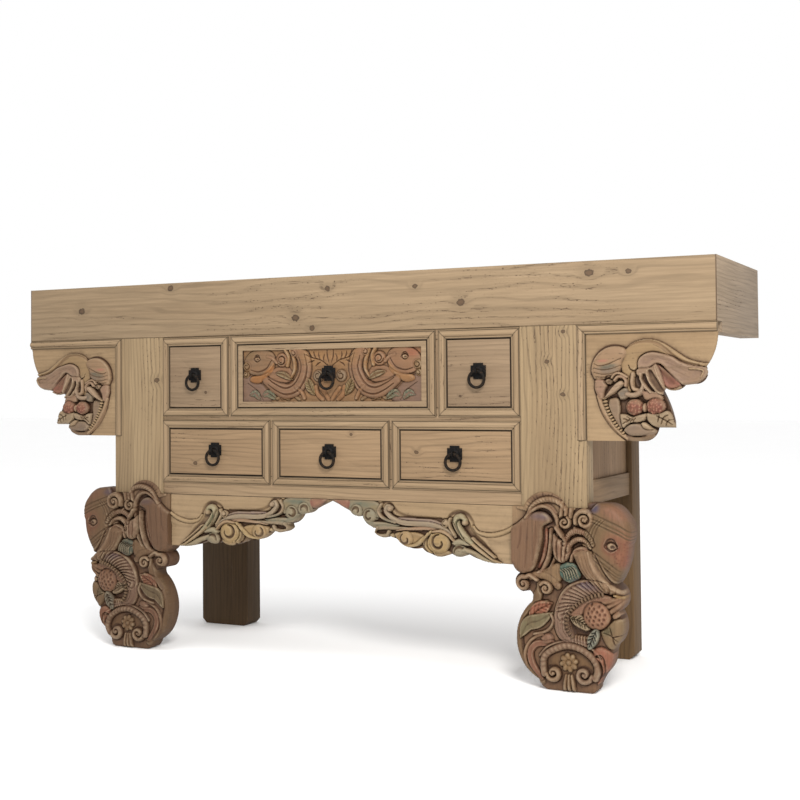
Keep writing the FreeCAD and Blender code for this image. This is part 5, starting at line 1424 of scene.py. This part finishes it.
def tooth_tree():
    """A row of rounded teeth set across a path."""
    t = Tree("tooth_row", Pitch=0.007, Long=0.008, Thick=0.0045, Seed=3, Finish=FINISH["leg"])
    curve = t.add("GeometryNodeMeshToCurve", None, {0: t.given_as("Path")})
    even = t.add("GeometryNodeResampleCurve", {"mode": "LENGTH"},
                 {"Curve": curve.outputs[0], "Length": t.given_as("Pitch")})
    along = t.add("GeometryNodeInputTangent")
    turn = t.add("FunctionNodeAlignRotationToVector", {"axis": "X"}, {"Vector": along.outputs[0]})
    tooth = t.add("GeometryNodeMeshIcoSphere", None, {"Radius": 0.5, "Subdivisions": 2})
    size = t.add("ShaderNodeCombineXYZ", None,
                 {0: t.given_as("Thick"), 1: t.given_as("Long"), 2: t.given_as("Long")})
    vary = t.add("FunctionNodeRandomValue", {"data_type": "FLOAT"}, {2: 0.82, 3: 1.12, "Seed": t.given_as("Seed")})
    grown = t.add("ShaderNodeVectorMath", {"operation": "SCALE"},
                  {0: size.outputs[0], "Scale": vary.outputs[1]})
    row = t.add("GeometryNodeInstanceOnPoints", None,
                {"Points": even.outputs[0], "Instance": tooth.outputs[0], "Rotation": turn.outputs[0],
                 "Scale": grown.outputs[0]})
    return t.end(row.outputs[0], t.given_as("Finish"))


def ring_tree():
    """A forged ring: a closed path given a round, slightly uneven section."""
    t = Tree("forged_ring", Wire=RING_WIRE * MM, Uneven=RING_UNEVEN * MM, Finish=FINISH["ring"])
    curve = t.add("GeometryNodeMeshToCurve", None, {0: t.given_as("Path")})
    even = t.add("GeometryNodeResampleCurve", {"mode": "COUNT"}, {"Curve": curve.outputs[0], "Count": 64})
    noise = t.add("ShaderNodeTexNoise", None, {"Scale": 90.0})
    centred = t.add("ShaderNodeVectorMath", {"operation": "SUBTRACT"}, {0: noise.outputs[1], 1: (0.5, 0.5, 0.5)})
    shift = t.add("ShaderNodeVectorMath", {"operation": "SCALE"},
                  {0: centred.outputs[0], "Scale": t.given_as("Uneven")})
    moved = t.add("GeometryNodeSetPosition", None, {"Geometry": even.outputs[0], "Offset": shift.outputs[0]})
    section = t.add("GeometryNodeCurvePrimitiveCircle", {"mode": "RADIUS"},
                    {"Resolution": 16, "Radius": t.given_as("Wire")})
    tube = t.add("GeometryNodeCurveToMesh", None, {"Curve": moved.outputs[0], "Profile Curve": section.outputs[0]})
    return t.end(tube.outputs[0], t.given_as("Finish"))


def open_path(points):
    """A smooth path in space, as vertices in metres and the edges between them."""
    verts = [tuple(c * MM for c in p) for p in smooth(points, 10)]
    return verts, [(k, k + 1) for k in range(len(verts) - 1)]


def recoat(node, finish):
    """Gives a solid that is shown as it is the finish of its timber."""
    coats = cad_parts[node].data.materials
    coats.clear()
    coats.append(FINISH[finish])


# Build
for word, _ in SIDES:
    corner_line(eased(word + "_end_board", "end", 3.0, "carcass", "pine_top"))
    eased("front_" + word + "_post", "post", 0.8, "carcass", "pine_frame")
    # rear posts take their painted-shade finishes
    eased("rear_" + word + "_post", "rear_" + word, 2.0, "carcass", "old_pine")
    eased(word + "_side_rail", "side_rail", 1.5, "carcass", "old_pine")
    eased(word + "_side_panel", "side", 0.8, "carcass", "old_pine")
corner_line(eased("front_fascia", "fascia", 2.5, "carcass", "pine_top"))
eased("back_fascia", "top", 2.5, "carcass", "pine_top")
eased("top_planks", "top", 0.8, "carcass", "pine_top")
# rails and stiles carry the dark gap finish on all but their fronts: painted shade in the openings
for node in ("top_rail", "middle_rail", "bottom_rail"):
    eased(node, "rail", 0.8, "carcass", "pine_frame", "edge")
for node in ("upper_stiles", "lower_stiles"):
    eased(node, "stile", 0.8, "carcass", "pine_frame", "edge")
eased("back_panel", "inside_z", 1.0, "carcass", "old_pine")
eased("back_rails", "inside", 1.0, "carcass", "old_pine")

for row in ("upper", "lower"):
    spans = [span for span in DRAWERS.values() if (span[2] > ROW_SPLIT) == (row == "upper")]
    runs = [run for span in spans for run in frame_runs(span)]
    bead_strips(row + "_bead_moulding", runs, "carcass", [row + "_bead_frames"])
for word, side in SIDES:
    bead_strips(word + "_wing_moulding", wing_runs(side), "carcass", [word + "_wing_beads"])

teeth = tooth_tree()
leg_map, wing_map, apron_map = leg_carving(), wing_carving(), apron_carving()
LEG_TEETH = [(628, -14, 203), (603, -15, 196), (579, -15, 182), (561, -15, 166), (552, -15, 148), (554, -14, 128),
             (564, -13, 114)]
WING_TEETH = [(634, -4.5, 592), (638, -5, 574), (647, -5, 554), (659, -5, 536), (671, -4.5, 523)]
for word, side in SIDES:
    # the left leg takes the darker copy of the carved finish, its painted shade
    leg_finish = "leg" if side > 0 else "left_leg"
    leg = leg_map.piece(word + "_carved_leg", LEG_OUTLINE, LEG_FREE, FRONT, LEG_BACK, *LEG_EDGE, leg_finish, side)
    settle(leg, "carcass", "carved_wood", word + "_leg_carving")
    hood = leg_map.piece(word + "_leg_hood", HOOD_OUTLINE, HOOD_OUTLINE, FRONT, FRONT - HOOD_LIFT, *HOOD_EDGE,
                         leg_finish, side)
    settle(hood, "carcass", "carved_wood")
    wing = wing_map.piece(word + "_carved_wing", WING_OUTLINE, WING_FREE, FRAME_Y, WING_BACK, *WING_EDGE, "wing", side,
                          wing_at(0, 1), WING_SLOPE)
    settle(wing, "carcass", "carved_wood", word + "_wing_bracket")
    board = apron_map.piece(word + "_carved_apron", APRON_OUTLINE, APRON_FREE, FRAME_Y, APRON_BACK, *APRON_EDGE,
                            "apron", side)
    settle(board, "carcass", "carved_wood", word + "_apron")
    for name, points, face, finish, pitch, long in (("leg", LEG_TEETH, FRONT, leg_finish, 7.2, 9.5),
                                                    ("wing", WING_TEETH, FRAME_Y, "wing", 6.6, 9.0)):
        verts, edges = open_path([(side * x, face + y, z) for x, y, z in points])
        row = teeth.grow(word + "_" + name + "_trunk_teeth", verts, edges, Pitch=pitch * MM, Long=long * MM,
                         Thick=TOOTH_T * MM, Seed=5, Finish=FINISH[finish])
        settle(row, "carcass", "carved_wood")

rings = ring_tree()
turns = [math.tau * k / RING_STEPS for k in range(RING_STEPS)]
links = [(k, (k + 1) % RING_STEPS) for k in range(RING_STEPS)]
for name, (x0, x1, z0, z1) in DRAWERS.items():
    x, z = (x0 + x1) / 2, (z0 + z1) / 2 + PULL_RISE
    if name != "carved_drawer":
        finish = "small" if name.startswith("upper") else "long"
        # a drawer front's sides in its gap take the dark gap finish: painted shade
        eased(name + "_front", finish, 1.6, name, "pine_drawer", "edge")
    recoat(name + "_box", "inside_y")
    eased(name + "_pull_plate", "iron", 0.35, name, "black_iron")
    verts = [((x + RING_R * math.sin(a)) * MM, EYE_Y * MM, (z - RING_R + RING_R * math.cos(a)) * MM) for a in turns]
    ring = rings.grow(name + "_forged_ring", verts, links, Wire=RING_WIRE * MM, Uneven=RING_UNEVEN * MM,
                      Finish=FINISH["ring"])
    settle(ring, name + "_ring", "black_iron", name + "_pull_ring")

# Middle upper drawer: a plain border round the sunk picture
x0, x1, z0, z1 = DRAWERS["carved_drawer"]
left, right, low, high = x0 + PICTURE_GAP, x1 - PICTURE_GAP, z0 + PICTURE_GAP, z1 - PICTURE_GAP
in_left, in_right, in_low, in_high = left + BORDER, right - BORDER, low + BORDER, high - BORDER
picture_map = picture_carving((in_left - 1, in_right + 1, in_low - 1, in_high + 1))
loop = [(in_left, in_low), (in_right, in_low), (in_right, in_high), (in_left, in_high)]
picture = picture_map.piece("carved_drawer_picture", loop, None, FRONT, FRONT + PICTURE_T, 0, 1, "picture", 1)
settle(picture, "carved_drawer", "carved_wood", "carved_drawer_front")
# Corners of a bar's six faces, its front face first
BAR_FACES = ((0, 1, 2, 3), (7, 6, 5, 4), (1, 0, 4, 5), (2, 1, 5, 6), (3, 2, 6, 7), (0, 3, 7, 4))
verts, polys = [], []
for ax0, ax1, az0, az1 in ((left, right, in_high, high), (left, right, low, in_low), (left, in_left, in_low, in_high),
                           (in_right, right, in_low, in_high)):
    k = len(verts)
    for y in (FRONT, FRONT + FRONT_T):
        verts += [[ax0 * MM, y * MM, az0 * MM], [ax1 * MM, y * MM, az0 * MM], [ax1 * MM, y * MM, az1 * MM],
                  [ax0 * MM, y * MM, az1 * MM]]
    polys += [[k + corner for corner in face] for face in BAR_FACES]
border = new_piece("carved_drawer_border", verts, polys, "border")
# the border's back and sides take the dark gap finish: painted shade in the gap and round the sunk picture
border.data.materials.append(FINISH["edge"])
border.data.polygons.foreach_set("material_index", [0 if k % len(BAR_FACES) < 1 else 1 for k in range(len(polys))])
border.data.polygons.foreach_set("use_smooth", [False] * len(border.data.polygons))
settle(border, "carved_drawer", "pine_drawer")

for node, finish in (("top_battens", "inside_y"), ("underboard", "inside"), ("upper_shelf", "inside"),
                     ("lower_shelf", "inside"), ("drawer_guides", "inside_y")):
    recoat(node, finish)


# Studio
def area_light(name, place, aim, size, watts, colour):
    """A round soft light that faces a point."""
    lamp = bpy.data.lights.new(name, "AREA")
    lamp.shape = "DISK"
    lamp.size = size
    lamp.energy = watts
    lamp.color = colour
    obj = bpy.data.objects.new(name, lamp)
    obj.location = place
    obj.rotation_euler = (Vector(aim) - Vector(place)).to_track_quat("-Z", "Y").to_euler()
    bpy.context.scene.collection.objects.link(obj)


area_light("key", (1.9, -2.7, 2.3), (0.1, 0.0, 0.45), 1.0, 130.0, (1.0, 0.98, 0.95))
area_light("top", (-0.4, -0.9, 3.2), (0.0, 0.0, 0.4), 2.0, 30.0, (1.0, 1.0, 1.0))

world = bpy.data.worlds.new("studio")
world.use_nodes = True
world.node_tree.nodes["Background"].inputs["Color"].default_value = (1.0, 1.0, 1.0, 1.0)
world.node_tree.nodes["Background"].inputs["Strength"].default_value = 1.0
bpy.context.scene.world = world

FLOOR_SIZE = 40.0
bpy.ops.mesh.primitive_plane_add(size=FLOOR_SIZE, location=(0, 0, 0))
floor = bpy.context.object
floor.name = "floor"
floor.data.materials.append(FINISH["floor"])

# The photograph's viewing angle
CAMERA_AT = (1.4104, -2.6912, 0.6158)
LENS, SHIFT = 57.96, -0.0625
YAW, PITCH, ROLL = math.radians(26.3), math.radians(1.7), math.radians(-0.5)
ahead = Vector((-math.sin(YAW) * math.cos(PITCH), math.cos(YAW) * math.cos(PITCH), math.sin(PITCH)))
level = Vector((math.cos(YAW), math.sin(YAW), 0.0))
above = level.cross(ahead)
across = level * math.cos(ROLL) + above * math.sin(ROLL)
upward = above * math.cos(ROLL) - level * math.sin(ROLL)
lens = bpy.data.cameras.new("camera")
lens.sensor_width = 36.0
lens.lens = LENS
lens.shift_y = SHIFT
camera = bpy.data.objects.new("camera", lens)
turn = Matrix((across, upward, -ahead)).transposed().to_4x4()
camera.matrix_world = Matrix.Translation(CAMERA_AT) @ turn
bpy.context.scene.collection.objects.link(camera)
bpy.context.scene.camera = camera
bpy.context.scene.view_settings.view_transform = "Standard"
